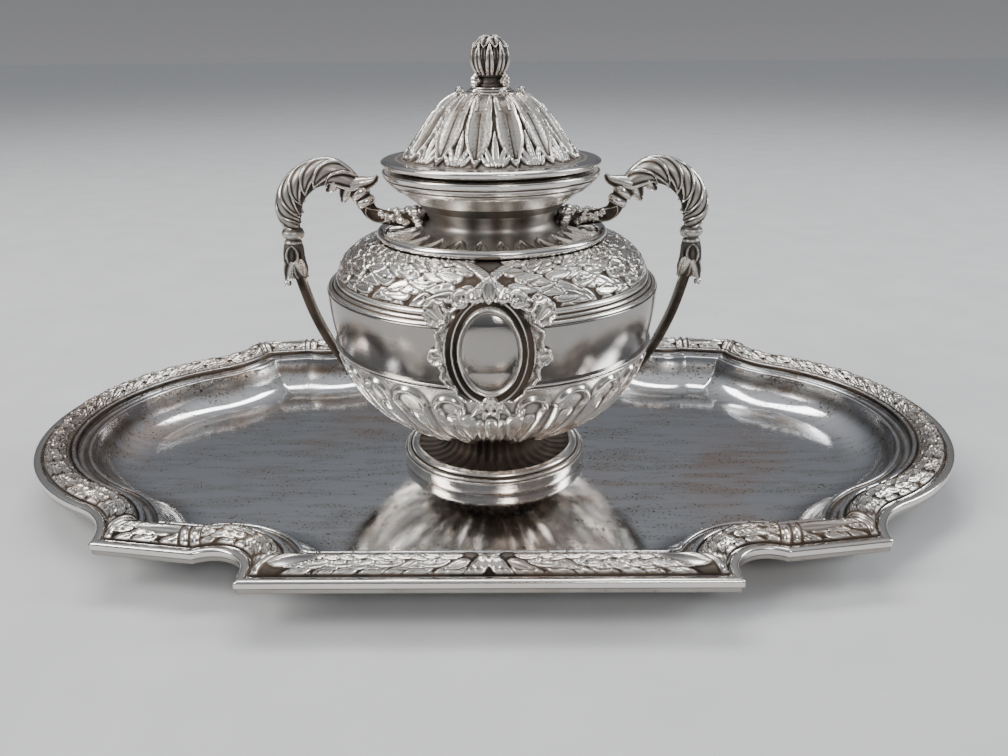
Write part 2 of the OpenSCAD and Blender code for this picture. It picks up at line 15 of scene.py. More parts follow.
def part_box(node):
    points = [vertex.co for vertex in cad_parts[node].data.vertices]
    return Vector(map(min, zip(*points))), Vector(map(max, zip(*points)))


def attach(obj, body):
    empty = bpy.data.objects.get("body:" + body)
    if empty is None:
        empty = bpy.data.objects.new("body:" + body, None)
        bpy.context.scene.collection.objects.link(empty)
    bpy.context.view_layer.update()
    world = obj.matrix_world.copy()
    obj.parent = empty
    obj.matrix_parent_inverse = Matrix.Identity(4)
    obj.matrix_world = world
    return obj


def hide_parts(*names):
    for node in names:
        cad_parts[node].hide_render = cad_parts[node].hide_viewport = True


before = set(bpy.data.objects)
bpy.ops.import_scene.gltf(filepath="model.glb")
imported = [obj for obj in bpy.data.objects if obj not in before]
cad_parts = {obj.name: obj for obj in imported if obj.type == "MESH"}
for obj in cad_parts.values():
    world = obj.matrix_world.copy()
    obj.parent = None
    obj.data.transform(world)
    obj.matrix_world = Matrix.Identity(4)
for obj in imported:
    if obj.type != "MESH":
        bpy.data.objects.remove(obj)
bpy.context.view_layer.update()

MM = 0.001
PIN = 0.02          # radius of the pinhole where a turned skin meets the axis
PI = math.pi


# ---------- Sizes, from the frame ----------

def low(node):
    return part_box(node)[0] / MM


def high(node):
    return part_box(node)[1] / MM


FLOOR = low("foot_ring").z
TRAY_L, TRAY_W, BAND_TOP = high("edge_band")
BAND_LOW = low("edge_band").z
BORDER_TOP = high("tray_border").z
FOOT_R, _, FOOT_TOP = high("foot_ring")
BOWL_LOW = low("bowl").z
BELT_LOW_R, _, BOWL_TOP = high("bowl")
BELT_R, _, BELT_TOP = high("belt_band")
BEAD_R = high("belt_bead").x - BELT_LOW_R
SHOULDER_TOP = high("shoulder").z
NECK_TOP = high("neck").z
RIM_R, _, LIP_TOP = high("rim_ring")
LID_LOW = low("lid_flange").z
LID_R, _, LID_TOP = high("lid_flange")
DOME_R, _, DOME_TOP = high("lid_dome")
CROWN_R = high("crown_ring").x
CROWN_TOP = low("finial_collar").z
BUD_LOW = low("finial_bud").z
BUD_R, _, BUD_TOP = high("finial_bud")

# Sizes inside the nodes' boxes, the same as in the CAD source
CENTRE_HALF = 47.4
SCOOP_DROP = 3.8
SCOOP_R = 7.2
SIDE_IN_Y = TRAY_W - 9.7
SIDE_OUT_X = 80.3
SIDE_OUT_Y = TRAY_W - 13.6
LOBE_R = 52
BAND_W = 2
GARLAND_W = 6.4
LEDGE_W = 4.5
WALL_W = 12
STEM_R = 12
BASE_H = 4.9 + 11.4     # foot and stem together
BOWL_BOTTOM_R = 13.5
SHOULDER_IN_R = 26.6
NECK_WAIST_R = 15.2
NECK_TOP_R = 23.1
NECK_BEAD_R = 1.05
BORE_R = 21.2
GLASS_R = 13.5
GLASS_WALL = 2.4
MEDAL_W = 11.9
MEDAL_H = 17.6
FRAME_W = 19
FRAME_H = 23
MEDAL_UP = 8.8
HANDLE_OUT_R = 48.6
HANDLE_TOP = FLOOR + 73.7
SCROLL_R = 2.9
ROD_R = 1.3
STUD_R = 1.5

# Columns round a plain turned part, and round a turned part with fine relief
ROUND = 240
FINE = 800


# ---------- Curves ----------

def bezier(a, b, c, d, steps):
    t = np.linspace(0, 1, steps + 1)[:, None]
    a, b, c, d = (np.array(p, float) for p in (a, b, c, d))
    return (1 - t) ** 3 * a + 3 * t * (1 - t) ** 2 * b + 3 * t * t * (1 - t) * c + t ** 3 * d


def spline(points, steps):
    """Smooth line through the points, with steps pieces between two of them."""
    v = np.array(points, float)
    v = np.vstack([v[:1], v, v[-1:]])
    out = []
    for i in range(1, len(v) - 2):
        a, b, c, d = v[i - 1:i + 3]
        for f in np.arange(steps) / steps:
            out.append(0.5 * (2 * b + (c - a) * f + (2 * a - 5 * b + 4 * c - d) * f ** 2
                              + (3 * b - a - 3 * c + d) * f ** 3))
    out.append(v[-1])
    return np.array(out)


def fillet(points, radius, step):
    """Polyline with its corners rounded, and no piece longer than step."""
    pts = [np.array(p, float) for p in points]
    line = [pts[0]]
    for i in range(1, len(pts) - 1):
        before = pts[i - 1] - pts[i]
        after = pts[i + 1] - pts[i]
        cut = min(radius, 0.45 * np.linalg.norm(before), 0.45 * np.linalg.norm(after))
        a = pts[i] + before / np.linalg.norm(before) * cut
        b = pts[i] + after / np.linalg.norm(after) * cut
        for t in (0, 0.25, 0.5, 0.75, 1):
            line.append((1 - t) ** 2 * a + 2 * t * (1 - t) * pts[i] + t * t * b)
    line.append(pts[-1])
    return dense(line, step)


def dense(line, step):
    line = np.array(line, float)
    out = [line[:1]]
    for a, b in zip(line[:-1], line[1:]):
        count = max(1, math.ceil(np.linalg.norm(b - a) / step))
        out.append(a + (b - a) * (np.arange(1, count + 1) / count)[:, None])
    return np.vstack(out)


def lengths(line):
    """How far along the line each of its points lies."""
    return np.concatenate([[0], np.cumsum(np.linalg.norm(np.diff(line, axis=0), axis=1))])


def smooth(x, a, b):
    t = np.clip((x - a) / (b - a), 0, 1)
    return t * t * (3 - 2 * t)


def ridge(x, at, width):
    return np.exp(-((x - at) / width) ** 2)


def arch(x, width):
    """Half a circle's height, 1 in the middle and 0 at the given half width."""
    return np.sqrt(np.clip(1 - (x / width) ** 2, 0, 1))


def turns(count):
    """Angles of count columns round the whole circle."""
    return np.arange(count) / count * 2 * PI


def nearest(angle, count=1, first=0.0):
    """Angle measured from the nearest of count directions that stand evenly round the axis."""
    pitch = 2 * PI / count
    return (angle - first + pitch / 2) % pitch - pitch / 2


def rotated(p, q, degrees):
    """Coordinates along and across an axis that is turned by degrees."""
    c, s = math.cos(math.radians(degrees)), math.sin(math.radians(degrees))
    return p * c + q * s, q * c - p * s


def resampled(line, count):
    """The same line with count points at even distances."""
    s = lengths(line)
    at = np.linspace(0, s[-1], count)
    return np.stack([np.interp(at, s, line[:, 0]), np.interp(at, s, line[:, 1])], 1)


def behind(line, every, inwards, down):
    """Hidden side of a turned skin, from its last point back to its first."""
    return [(r - inwards, z - down) for r, z in line[::-every]]


# ---------- Grids, reliefs and meshes ----------

def pushed(p, relief):
    """The grid, moved along its own normals by the relief; its columns close."""
    n = np.cross(np.roll(p, -1, 1) - np.roll(p, 1, 1), np.gradient(p, axis=0))
    n /= np.linalg.norm(n, axis=2, keepdims=True) + 1e-12
    return p + n * relief[:, :, None]


def blurred(h, reach, closed):
    """Average over a window of a few rows and columns; closed says whether the columns close."""
    for axis, far in enumerate(reach):
        total = np.zeros_like(h)
        size = h.shape[axis]
        for k in range(-far, far + 1):
            index = np.arange(size) + k
            index = index % size if closed and axis == 1 else np.clip(index, 0, size - 1)
            total += np.take(h, index, axis)
        h = total / (2 * far + 1)
    return h


def grime(h, top, reach, ground, closed=True):
    """Dirt left by polishing: much in the ground and beside what stands up, none on the tops."""
    depth = np.clip((top - h) / top, 0, 1)
    around = np.clip((blurred(h, reach, closed) - h) / (0.3 * top), 0, 1)
    return np.clip(ground * depth ** 1.6 + 0.75 * around, 0, 1)


class Patch:
    """One grid of points with the dirt on each. Its columns close, and its rows if asked."""

    def __init__(self, points, dirt, closed=False):
        self.points = points
        self.dirt = np.broadcast_to(np.asarray(dirt, float), points.shape[:2])
        self.closed = closed

    def quads(self):
        m, n = self.points.shape[:2]
        i, j = np.meshgrid(np.arange(m if self.closed else m - 1), np.arange(n), indexing="ij")
        i1, j1 = (i + 1) % m, (j + 1) % n
        return np.stack([i * n + j, i * n + j1, i1 * n + j1, i1 * n + j], -1).reshape(-1, 4)


def mirrored(patches):
    """The same patches on the other side of the YZ plane, still facing outwards."""
    return [Patch(p.points[:, ::-1] * [-1, 1, 1], p.dirt[:, ::-1], p.closed) for p in patches]


def half_turned(patches):
    return [Patch(p.points * [-1, -1, 1], p.dirt, p.closed) for p in patches]


def mesh_of(name, points, quads, dirt):
    mesh = bpy.data.meshes.new(name)
    mesh.vertices.add(len(points))
    mesh.vertices.foreach_set("co", (points * MM).astype(np.float32).ravel())
    mesh.loops.add(quads.size)
    mesh.loops.foreach_set("vertex_index", quads.astype(np.int32).ravel())
    mesh.polygons.add(len(quads))
    mesh.polygons.foreach_set("loop_start", np.arange(0, quads.size, 4, dtype=np.int32))
    mesh.update(calc_edges=True)
    mesh.shade_smooth()
    mesh.attributes.new("dirt", "FLOAT", "POINT").data.foreach_set("value", dirt.astype(np.float32))
    return mesh


def added(name, data):
    thing = bpy.data.objects.new(name, data)
    bpy.context.scene.collection.objects.link(thing)
    return thing


def place(name, mesh, material, body, slot, nodes):
    piece = added(name, mesh)
    mesh.materials.append(material)
    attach(piece, body)
    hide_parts(*nodes)


def make(name, patches, material, body, slot, *nodes):
    """One piece from its patches, in place of the named CAD nodes."""
    points = np.vstack([p.points.reshape(-1, 3) for p in patches])
    dirt = np.concatenate([p.dirt.ravel() for p in patches])
    starts = np.cumsum([0] + [p.points.shape[0] * p.points.shape[1] for p in patches[:-1]])
    quads = np.vstack([p.quads() + start for p, start in zip(patches, starts)])
    place(name, mesh_of(name, points, quads, dirt), material, body, slot, nodes)


def polar(r, angle, z):
    """Points at a radius, an angle from the front, and a height."""
    return np.stack([r * np.sin(angle), -r * np.cos(angle), z], -1)


def turned_grid(line, count):
    """Points of a line of (radius, height) turned round the axis."""
    line = np.array(line, float)
    angle = turns(count)
    return polar(line[:, :1], angle, line[:, 1:] + 0 * angle)


def turned(line, count, relief=None, dirt=0.15, hidden=None, hidden_dirt=0.8, closed=True):
    """A turned skin: line is what shows, with its relief, and hidden closes it behind."""
    shown = turned_grid(line, count)
    if relief is not None:
        shown = pushed(shown, relief)
    dirt = np.broadcast_to(np.asarray(dirt, float), shown.shape[:2])
    if hidden is not None:
        back = turned_grid(hidden, count)
        shown = np.vstack([shown, back])
        dirt = np.vstack([dirt, np.full(back.shape[:2], hidden_dirt)])
    return Patch(shown, dirt, closed)


def hollows(line, reach=0.5, depth=0.12):
    """Dirt for a plain moulding: most in its inner corners, for each point of the line."""
    s = lengths(line)
    at = np.stack([np.interp(s + k, s, line[:, c]) for k in (-reach, reach) for c in (0, 1)], 1)
    middle = (at[:, :2] + at[:, 2:]) / 2
    tangent = at[:, 2:] - at[:, :2]
    outward = np.stack([tangent[:, 1], -tangent[:, 0]], 1)
    outward /= np.linalg.norm(outward, axis=1, keepdims=True) + 1e-9
    return np.clip(((middle - line) * outward).sum(1) / depth, 0, 1)[:, None]


# ---------- Ornament ----------

def leaf(p, q, size, width, height, point=0.75, flat=0.0, vein=0.25, rim=0.0):
    """Height of a leaf that lies along p from its foot at 0, q across it; -1 outside it."""
    t = np.clip(p / size, 0, 1)
    half = width / 2 * np.sin(PI * t ** point) ** 0.75 + 1e-6
    inside = (p > 0) & (p < size) & (np.abs(q) < half)
    k = np.clip(np.abs(q) / half, 0, 1)
    edge = np.minimum((1 - k) * half / 0.45, 1)
    body = (1 - flat) * np.sqrt(1 - k * k) + flat * smooth(edge, 0, 1)
    body = body - vein * ridge(q, 0, 0.16 * width) * smooth(t, 0, 0.2) * (1 - smooth(t, 0.75, 1))
    body = body - rim * (1 - ridge(k, 0.82, 0.2)) * smooth(edge, 0.6, 1)
    return np.where(inside, height * np.maximum(body, 0.05), -1)


def over(low, motif):
    """Heights with a motif laid over them, so that its own low edge outlines it."""
    return np.where(motif > -1, motif, low)


class Canvas:
    """A relief on a grid of s along and a across, in millimetres; turn is in degrees from s to a."""

    def __init__(self, s, a):
        self.s = s
        self.a = a
        self.h = np.zeros(np.broadcast(s, a).shape)

    def motif(self, s, a, turn, size, width, height, **more):
        p, q = rotated(self.s - s, self.a - a, turn)
        return leaf(p, q, size, width, height, **more)

    def leaf(self, *place, **more):
        """A leaf that grows out of what is there."""
        self.h = np.maximum(self.h, self.motif(*place, **more))

    def lay(self, *place, **more):
        """A leaf laid over what is there."""
        self.h = over(self.h, self.motif(*place, **more))

    def berry(self, s, a, radius, height):
        k = np.hypot(self.s - s, self.a - a) / radius
        self.h = np.maximum(self.h, np.where(k < 1, height * arch(k, 1), -1))

    def pit(self, s, a, radius, depth):
        self.h = self.h - depth * ridge(np.hypot(self.s - s, self.a - a), 0, radius)


# ---------- Materials ----------

def node(tree, kind, **values):
    """A new shader node with some inputs set; an underscore stands for a space in their names."""
    made = tree.nodes.new("ShaderNode" + kind)
    for key, value in values.items():
        made.inputs[key.replace("_", " ")].default_value = value
    return made


def shader(name, **values):
    material = bpy.data.materials.new(name)
    material.use_nodes = True
    tree = material.node_tree
    tree.nodes.clear()
    out = node(tree, "OutputMaterial")
    bsdf = node(tree, "BsdfPrincipled", **values)
    tree.links.new(bsdf.outputs[0], out.inputs[0])
    return material, tree, bsdf


def link(tree, source, target):
    """Feed a socket from an output, or set it to a number or a colour."""
    if isinstance(source, tuple):
        target.default_value = (*source, 1)
    elif isinstance(source, (int, float)):
        target.default_value = source
    else:
        tree.links.new(source, target)


def noise(tree, scale, detail, roughness=0.55, stretch=None):
    where = node(tree, "TexCoord").outputs["Object"]
    if stretch is not None:
        mapping = node(tree, "Mapping", Scale=stretch)
        link(tree, where, mapping.inputs["Vector"])
        where = mapping.outputs[0]
    texture = node(tree, "TexNoise", Scale=scale, Detail=detail, Roughness=roughness)
    link(tree, where, texture.inputs["Vector"])
    return texture.outputs["Fac"]


def spread(tree, value, a, b, c=0.0, d=1.0):
    """Value from a to b mapped to c to d, and held there."""
    ramp = node(tree, "MapRange", From_Min=a, From_Max=b, To_Min=c, To_Max=d)
    ramp.interpolation_type = "SMOOTHSTEP"
    link(tree, value, ramp.inputs["Value"])
    return ramp.outputs[0]


def maths(tree, operation, a, b):
    """Outcome of an operation on sockets or numbers; a sum is held between 0 and 1."""
    made = node(tree, "Math")
    made.operation = operation
    made.use_clamp = operation == "ADD"
    link(tree, a, made.inputs[0])
    link(tree, b, made.inputs[1])
    return made.outputs[0]


def plus(tree, a, b):
    return maths(tree, "ADD", a, b)


def times(tree, a, b):
    return maths(tree, "MULTIPLY", a, b)


def mixed(tree, factor, a, b):
    """Colour a where factor is 0 and b where it is 1."""
    made = node(tree, "Mix")
    made.data_type = "RGBA"
    for socket, value in ((0, factor), (6, a), (7, b)):
        link(tree, value, made.inputs[socket])
    return made.outputs[2]


BRIGHT = (0.82, 0.785, 0.735)
ROSY = (0.62, 0.50, 0.43)
COOL = (0.80, 0.82, 0.86)
OXIDE = (0.030, 0.025, 0.021)
BROWN = (0.105, 0.080, 0.063)


def silver(name, clean, gloss, stain, dullness=0.3, scratches=0.25, streak=(1, 1, 1), relief=0.35,
           mottle=0.0):
    """Old silver: bright where it is polished, brown and dull where the dirt attribute is high.

    gloss is the roughness where it is clean, stain how much it is blotched, and mottle how much of
    the colour is worn through in streaks.
    """
    grain = 0.15
    bump_in_metres = 0.00025
    material, tree, bsdf = shader(name, Metallic=1)
    attribute = node(tree, "Attribute")
    attribute.attribute_name = "dirt"
    fine = noise(tree, 1500, 5, 0.65)
    patchy = noise(tree, 75, 6, 0.6)
    broad = noise(tree, 24, 3, 0.5)
    blotch = spread(tree, patchy, 0.48, 0.70)
    speck = spread(tree, fine, 0.58, 0.68)
    dirt = plus(tree, attribute.outputs["Fac"], times(tree, blotch, 0.25 * stain))
    dirt = plus(tree, dirt, times(tree, times(tree, speck, blotch), 0.5 * stain))
    rosy = times(tree, spread(tree, broad, 0.5, 0.68), stain)
    tint = mixed(tree, rosy, clean, ROSY)
    scratch = noise(tree, 420, 8, 0.75, streak)
    if mottle:
        worn = noise(tree, 130, 7, 0.7, streak)
        tint = mixed(tree, spread(tree, worn, 0.42, 0.62, mottle, 0), tint, COOL)
        pits = times(tree, spread(tree, fine, 0.57, 0.62), spread(tree, worn, 0.42, 0.56))
        dirt = plus(tree, dirt, times(tree, pits, mottle * 2))
    brown = mixed(tree, spread(tree, patchy, 0.4, 0.6), OXIDE, BROWN)
    link(tree, mixed(tree, spread(tree, dirt, 0.12, 0.95), tint, brown), bsdf.inputs["Base Color"])
    rough = spread(tree, dirt, 0, 1, gloss, gloss + 0.42)
    rough = plus(tree, rough, times(tree, spread(tree, fine, 0.3, 0.8), dullness * 0.2))
    link(tree, rough, bsdf.inputs["Roughness"])
    height = plus(tree, times(tree, scratch, scratches), times(tree, fine, grain))
    bump = node(tree, "Bump", Strength=relief, Distance=bump_in_metres)
    link(tree, height, bump.inputs["Height"])
    link(tree, bump.outputs[0], bsdf.inputs["Normal"])
    return material


def clear_glass():
    tint = (0.86, 0.94, 0.92, 1)
    material, tree, bsdf = shader("liner_glass", Base_Color=tint, Transmission_Weight=1, IOR=1.5)
    haze = noise(tree, 300, 5, 0.6)
    link(tree, spread(tree, haze, 0.4, 0.8, 0.02, 0.16), bsdf.inputs["Roughness"])
    return material


plain = silver("polished_silver", (0.74, 0.71, 0.67), 0.11, 0.3, streak=(1, 1, 9))
chased = silver("chased_silver", BRIGHT, 0.15, 0.7)
old = silver("old_silver", (0.46, 0.40, 0.34), 0.24, 0.8)
pan = silver("tray_silver", (0.60, 0.595, 0.585), 0.045, 0.95, dullness=0.12, scratches=0.5,
             streak=(0.35, 2.2, 1), relief=0.09, mottle=0.45)
# Painted dark reflection: this polished silver's clean colour is set about half as bright as plain
# silver's, so the belt and medallions look darker
mirror = silver("belt_silver_painted_dark", (0.37, 0.35, 0.33), 0.09, 0.5, streak=(1, 1, 9), relief=0.2)


# ---------- Tray ----------

def on_circle(centre, radius, angle):
    return centre + radius * np.hstack([np.cos(angle), np.sin(angle)])


class Outline:
    """A quarter of the tray's outline at any inset, mirrored to the whole; each section is a formula.

    The quarter runs from the middle of the front through scoop, side and bend to the end of the lobe.
    """

    def __init__(self, step):
        side_in = np.array([CENTRE_HALF + 1.4 * SCOOP_R, SIDE_IN_Y])
        self.side_out = np.array([SIDE_OUT_X, SIDE_OUT_Y])
        along = self.side_out - side_in
        along = along / np.linalg.norm(along)
        self.normal = np.array([along[1], -along[0]])
        self.side_angle = math.atan2(self.normal[1], self.normal[0])
        self.scoop = np.array([CENTRE_HALF + SCOOP_R, TRAY_W - SCOOP_DROP])
        self.lobe = np.array([TRAY_L - LOBE_R, 0])
        reach = TRAY_L - SIDE_OUT_X
        self.bend_r = (reach ** 2 + SIDE_OUT_Y ** 2) / (2 * reach) - LOBE_R
        self.bend = self.side_out + [self.bend_r, 0]
        to_lobe = self.lobe - self.bend
        self.bend_end = math.atan2(to_lobe[1], to_lobe[0]) + 2 * PI
        # Rough lengths of centre, scoop, side, bend and lobe, in millimetres
        self.counts = [max(3, round(size / step)) for size in (CENTRE_HALF, 16, 17, 19, 60)]
        self.s = lengths(self.quarter(BAND_W + GARLAND_W / 2))
        self.marks = [self.s[end] for end in np.cumsum([0] + self.counts)]

    def meet(self, centre, radius, inset):
        """Angle from the side's normal at which a circle meets the side."""
        return math.acos((inset - (centre - self.side_out) @ self.normal) / radius)

    def scooped(self, o, count):
        """The straight drop and the hollow arc between the centre's corner and the side."""
        r = SCOOP_R + o
        drop = max(0.0, SCOOP_DROP - o)
        a0 = PI + math.asin(max(0.0, o - SCOOP_DROP) / r)
        a1 = self.side_angle + 2 * PI + self.meet(self.scoop, r, o)
        u = np.linspace(0, drop + r * (a1 - a0), count + 1)[:, None]
        line = on_circle(self.scoop, r, a0 + np.maximum(0, u - drop) / r)
        straight = np.hstack([np.full_like(u, CENTRE_HALF - o), TRAY_W - o - u])
        return np.where(u < drop, straight, line)

    def quarter(self, o):
        n = self.counts
        r = self.bend_r + o
        a0 = self.side_angle + 2 * PI - self.meet(self.bend, r, o)
        scoop = self.scooped(o, n[1])
        bend = on_circle(self.bend, r, np.linspace(a0, self.bend_end, n[3] + 1)[:, None])
        lobe = on_circle(self.lobe, LOBE_R - o, np.linspace(self.bend_end - PI, 0, n[4] + 1)[:, None])
        centre = np.stack([np.linspace(0, CENTRE_HALF - o, n[0] + 1), np.full(n[0] + 1, TRAY_W - o)], 1)
        t = np.linspace(0, 1, n[2] + 1)[:, None]
        side = scoop[-1] * (1 - t) + bend[0] * t
        return np.vstack([centre, scoop[1:], side[1:], bend[1:], lobe[1:]])

    def ring(self, o):
        q = self.quarter(o)
        return np.vstack([q, q[-2::-1] * [1, -1], q[1:] * [-1, -1], q[-2:0:-1] * [-1, 1]])

    def whole(self, q):
        """A relief drawn on one quarter's columns, repeated for the whole outline."""
        return np.hstack([q, q[:, -2::-1], q[:, 1:], q[:, -2:0:-1]])

    def grid(self, section):
        """Points of a section of (inset, height) carried round the outline; the front is -Y."""
        rings = []
        for o, z in section:
            ring = self.ring(o) * [1, -1]
            rings.append(np.hstack([ring, np.full((len(ring), 1), z)]))
        return np.array(rings)


def border_relief(way, across):
    """Garland on a quarter of the border: ribbons at the front, leaves, collars and mitred corners."""
    c = Canvas(way.s[None, :], across[:, None])
    half = across.max()
    _, corner, scoop_end, side_end, _, tip = way.marks
    fan = ((-0.88, -30), (0.88, 30), (-0.62, -24), (0.62, 24), (-0.3, -14), (0.3, 16), (0, 2))

    def carpet(start, end, pitch, size, width, wander):
        """Overlapping leaves that fan out from the middle line, the hindmost laid first.

        Lengths are in millimetres, and wander is how many degrees a leaf may turn aside.
        """
        for k in range(int((end - start) / pitch), -1, -1):
            s = start + pitch * k
            for row, turn in fan:
                sway = math.sin(2.3 * k + 5 * row)
                c.lay(s + 0.35 * pitch * (row == 0) + 0.5 * sway, row * half, turn + wander * sway,
                      size * (1 + 0.12 * sway), width, 0.7 + 0.1 * sway, flat=0.35, vein=0.35)
            c.pit(s + 1.1 * pitch, 0.3 * half * math.sin(4.1 * k + 1), 0.32, 0.45)

    carpet(4, corner - 9, 2.7, 5.6, 2.3, 8)
    # Smooth lens beside the mitre of the central corner
    c.lay(corner - 9.5, 0, 0, 9.5, 5.2, 0.85, point=0.9, vein=0)
    carpet(corner + 0.5, scoop_end - 3.5, 2.5, 4.4, 2.0, 10)
    # Smooth long form on the side section between two rows of small leaves
    carpet(scoop_end + 1, side_end - 4, 2.6, 4.2, 1.9, 6)
    c.lay(scoop_end + 1.5, -0.05 * half, 0, side_end - scoop_end - 3, 3.6, 0.85, point=0.6, vein=0.1)
    # Dense small leaves along the bend and the lobe
    carpet(side_end + 2, tip, 2.5, 4.6, 2.1, 10)
    h = c.h
    s = way.s[None, :] + 0 * h
    a = across[:, None] + 0 * h
    # Smooth transverse collars with a groove on each side: place, half width, height
    for at, width, height in ((scoop_end - 0.4, 1.1, 0.8), (scoop_end + 1.6, 0.7, 0.6),
                              (side_end + 1.2, 0.9, 0.75)):
        d = np.abs(s - at)
        h = np.where(d < width, height * arch(d, width), np.where(d < width + 0.5, 0.02, h))
    # Plain facets at the mitres
    for at, width in ((corner, 1.6), (side_end, 1.5)):
        d = np.abs(s - at)
        facet = 0.55 - 0.35 * ridge(d, 0, 0.25) - 0.4 * ridge(d, width, 0.3)
        h = np.where(d < width, facet, h)
    # Crossed ribbons in the middle of the front
    for turn in (-1, 1):
        d = s * 0.82 + turn * a * 0.57
        hatch = ridge((s * 1.6 - turn * a * 2.2) % 1, 0.5, 0.22)
        ribbon = 0.85 * smooth(1.5 - np.abs(d), 0, 0.3) - 0.3 * hatch
        h = np.where((np.abs(d) < 1.5) & (s < 5.5), np.maximum(ribbon, 0.05), h)
    return h


def tray_border(way):
    mid = BAND_W + GARLAND_W / 2
    wide = GARLAND_W / 2 - 0.35
    base = BAND_TOP - 0.3
    relief_room = 0.8
    rise = BORDER_TOP - relief_room - base
    t = np.linspace(0, PI, 40)
    section = np.stack([mid - wide * np.cos(t), base + rise * np.sin(t) ** 0.9], 1)
    across = lengths(section)
    across = across - across[-1] / 2
    relief = border_relief(way, across)
    fade = smooth(np.minimum(t, PI - t), 0.04, 0.3)[:, None]
    dirt = way.whole(grime(relief, 0.85, (2, 2), 0.8, False) * fade + 0.9 * (1 - fade))
    relief = way.whole(relief * fade)
    grid = pushed(way.grid(section[::-1]), relief[::-1])
    under = way.grid([(mid - wide, base - 0.2), (mid + wide, base - 0.2)])
    dirt = np.vstack([dirt[::-1], np.ones((2, dirt.shape[1]))])
    make("tray_garland", [Patch(np.vstack([grid, under]), dirt, True)], chased, "tray", "chased_silver",
         "tray_border")


def edge_band(way):
    w, top = BAND_W, BAND_TOP
    section = fillet([
        (w, top - 0.9), (w - 0.25, top), (0, top), (0, top - 1.5), (0.35, top - 1.8), (0.35, BAND_LOW),
        (w, BAND_LOW), (w, top - 0.9)
    ], 0.75, 0.5)[:-1]
    dirt = np.clip(section[:, :1] * 0.12 + 0.5 * (section[:, 1:] < top - 1.4), 0, 1)
    points = way.grid(section[::-1])
    make("tray_edge", [Patch(points, dirt[::-1] + 0 * points[:, :, 0], True)], plain, "tray",
         "polished_silver", "edge_band")


def tray_dish(way):
    """The pan: rim steps inside the garland, a hollow wall, a floor, and a skin underneath."""
    rim_in = BAND_W + GARLAND_W
    ledge_in = rim_in + LEDGE_W
    floor_in = ledge_in + WALL_W
    top = BAND_TOP
    ledge = top - 1.8
    steps = fillet([
        (rim_in - 2, top - 0.4), (rim_in - 0.1, top - 0.4), (rim_in + 0.15, top + 0.25),
        (rim_in + 0.9, top + 0.3), (rim_in + 1.35, top - 0.3), (rim_in + 1.6, ledge),
        (ledge_in - 1.1, ledge - 0.1), (ledge_in - 0.9, ledge + 0.5), (ledge_in - 0.1, ledge + 0.5),
        (ledge_in + 0.3, ledge - 0.6)
    ], 0.3, 0.3)
    wall = bezier((ledge_in + 0.3, ledge - 0.6), (ledge_in + 2.2, FLOOR + 2.5),
                  (floor_in - 6.5, FLOOR), (floor_in, FLOOR), 30)[1:]
    section = np.vstack([steps, wall])
    depth = lengths(section)
    mark = depth[len(steps) - 1]
    dirt = 0.9 * ridge(depth, mark - 5.6, 0.7) + 0.75 * ridge(depth, mark - 2.9, 0.9)
    dirt = dirt + 0.55 * ridge(depth, mark + 2.4, 2.0) + 0.12
    grid = way.grid(section)
    # Floor and underside shrink to the middle in steps
    shares = np.linspace(1, 0.0006, 36)[1:]
    floor = np.array([grid[-1] * [k, k, 1] for k in shares])
    under = bezier((floor_in + 0.3, 0), (floor_in - 7, 0), (ledge_in + 1.2, 1.8),
                   (ledge_in - 0.7, ledge - 1.6), 14)
    flange = [(rim_in + 0.3, ledge - 1.2), (rim_in, top - 1.4), (BAND_W, top - 1.4),
              (BAND_W, top - 0.5)]
    back = way.grid(np.vstack([under, flange]))
    pan_under = np.array([back[0] * [k, k, 1] for k in shares[::-2]])
    shown = np.vstack([floor[::-1], grid[::-1]])
    worn = np.concatenate([np.full(len(floor), 0.1), dirt[::-1]])[:, None] + 0 * shown[:, :, 0]
    patches = [Patch(shown, np.clip(worn, 0, 1)), Patch(np.vstack([pan_under, back, grid[:1]]), 0.35)]
    make("tray_pan", patches, pan, "tray", "tray_silver", "tray_dish")


# ---------- Urn ----------

def foot():
    r = FOOT_R
    edge = FLOOR + 2.7
    line = fillet([
        (r - 4, FLOOR), (r - 0.1, FLOOR), (r, FLOOR + 1), (r, edge), (r - 0.6, edge + 0.25),
        (r - 0.85, edge + 0.75), (r - 1.8, edge + 0.95), (r - 2.1, edge + 1.5), (r - 3, FOOT_TOP - 0.1),
        (r - 3.5, FOOT_TOP), (r - 4, FOOT_TOP - 0.5)
    ], 0.2, 0.2)
    make("urn_foot", [turned(line, ROUND, dirt=hollows(line) * 0.9 + 0.05)], plain, "vase",
         "polished_silver", "foot_ring")

    waist = FLOOR + BASE_H * 0.43
    dish = bezier((r - 3.9, FOOT_TOP - 0.35), (STEM_R + 4, FOOT_TOP - 1.1),
                  (STEM_R + 1, FOOT_TOP - 1.1), (STEM_R, waist), 26)
    stem = bezier((STEM_R, waist), (STEM_R, waist + 2), (BOWL_BOTTOM_R, BOWL_LOW - 2),
                  (BOWL_BOTTOM_R, BOWL_LOW), 20)[1:]
    line = np.vstack([dish, stem])
    s = lengths(line)[:, None]
    count = 360
    angle = turns(count)
    flutes = 0.35 * np.abs(np.sin(12 * angle)) * smooth(s, 6.5, 10)
    streaks = 0.05 * np.sin(90 * angle + 3 * np.sin(7 * angle)) * (1 - smooth(s, 5, 8))
    dirt = np.clip(0.62 + 0.25 * smooth(s, 4, 8) + 0.1 * np.sin(37 * angle), 0, 1)
    make("urn_stem", [turned(line, count, flutes + streaks - 0.35, dirt, behind(line, 6, 1, 0.6))], old,
         "vase", "chased_silver", "foot_stem")


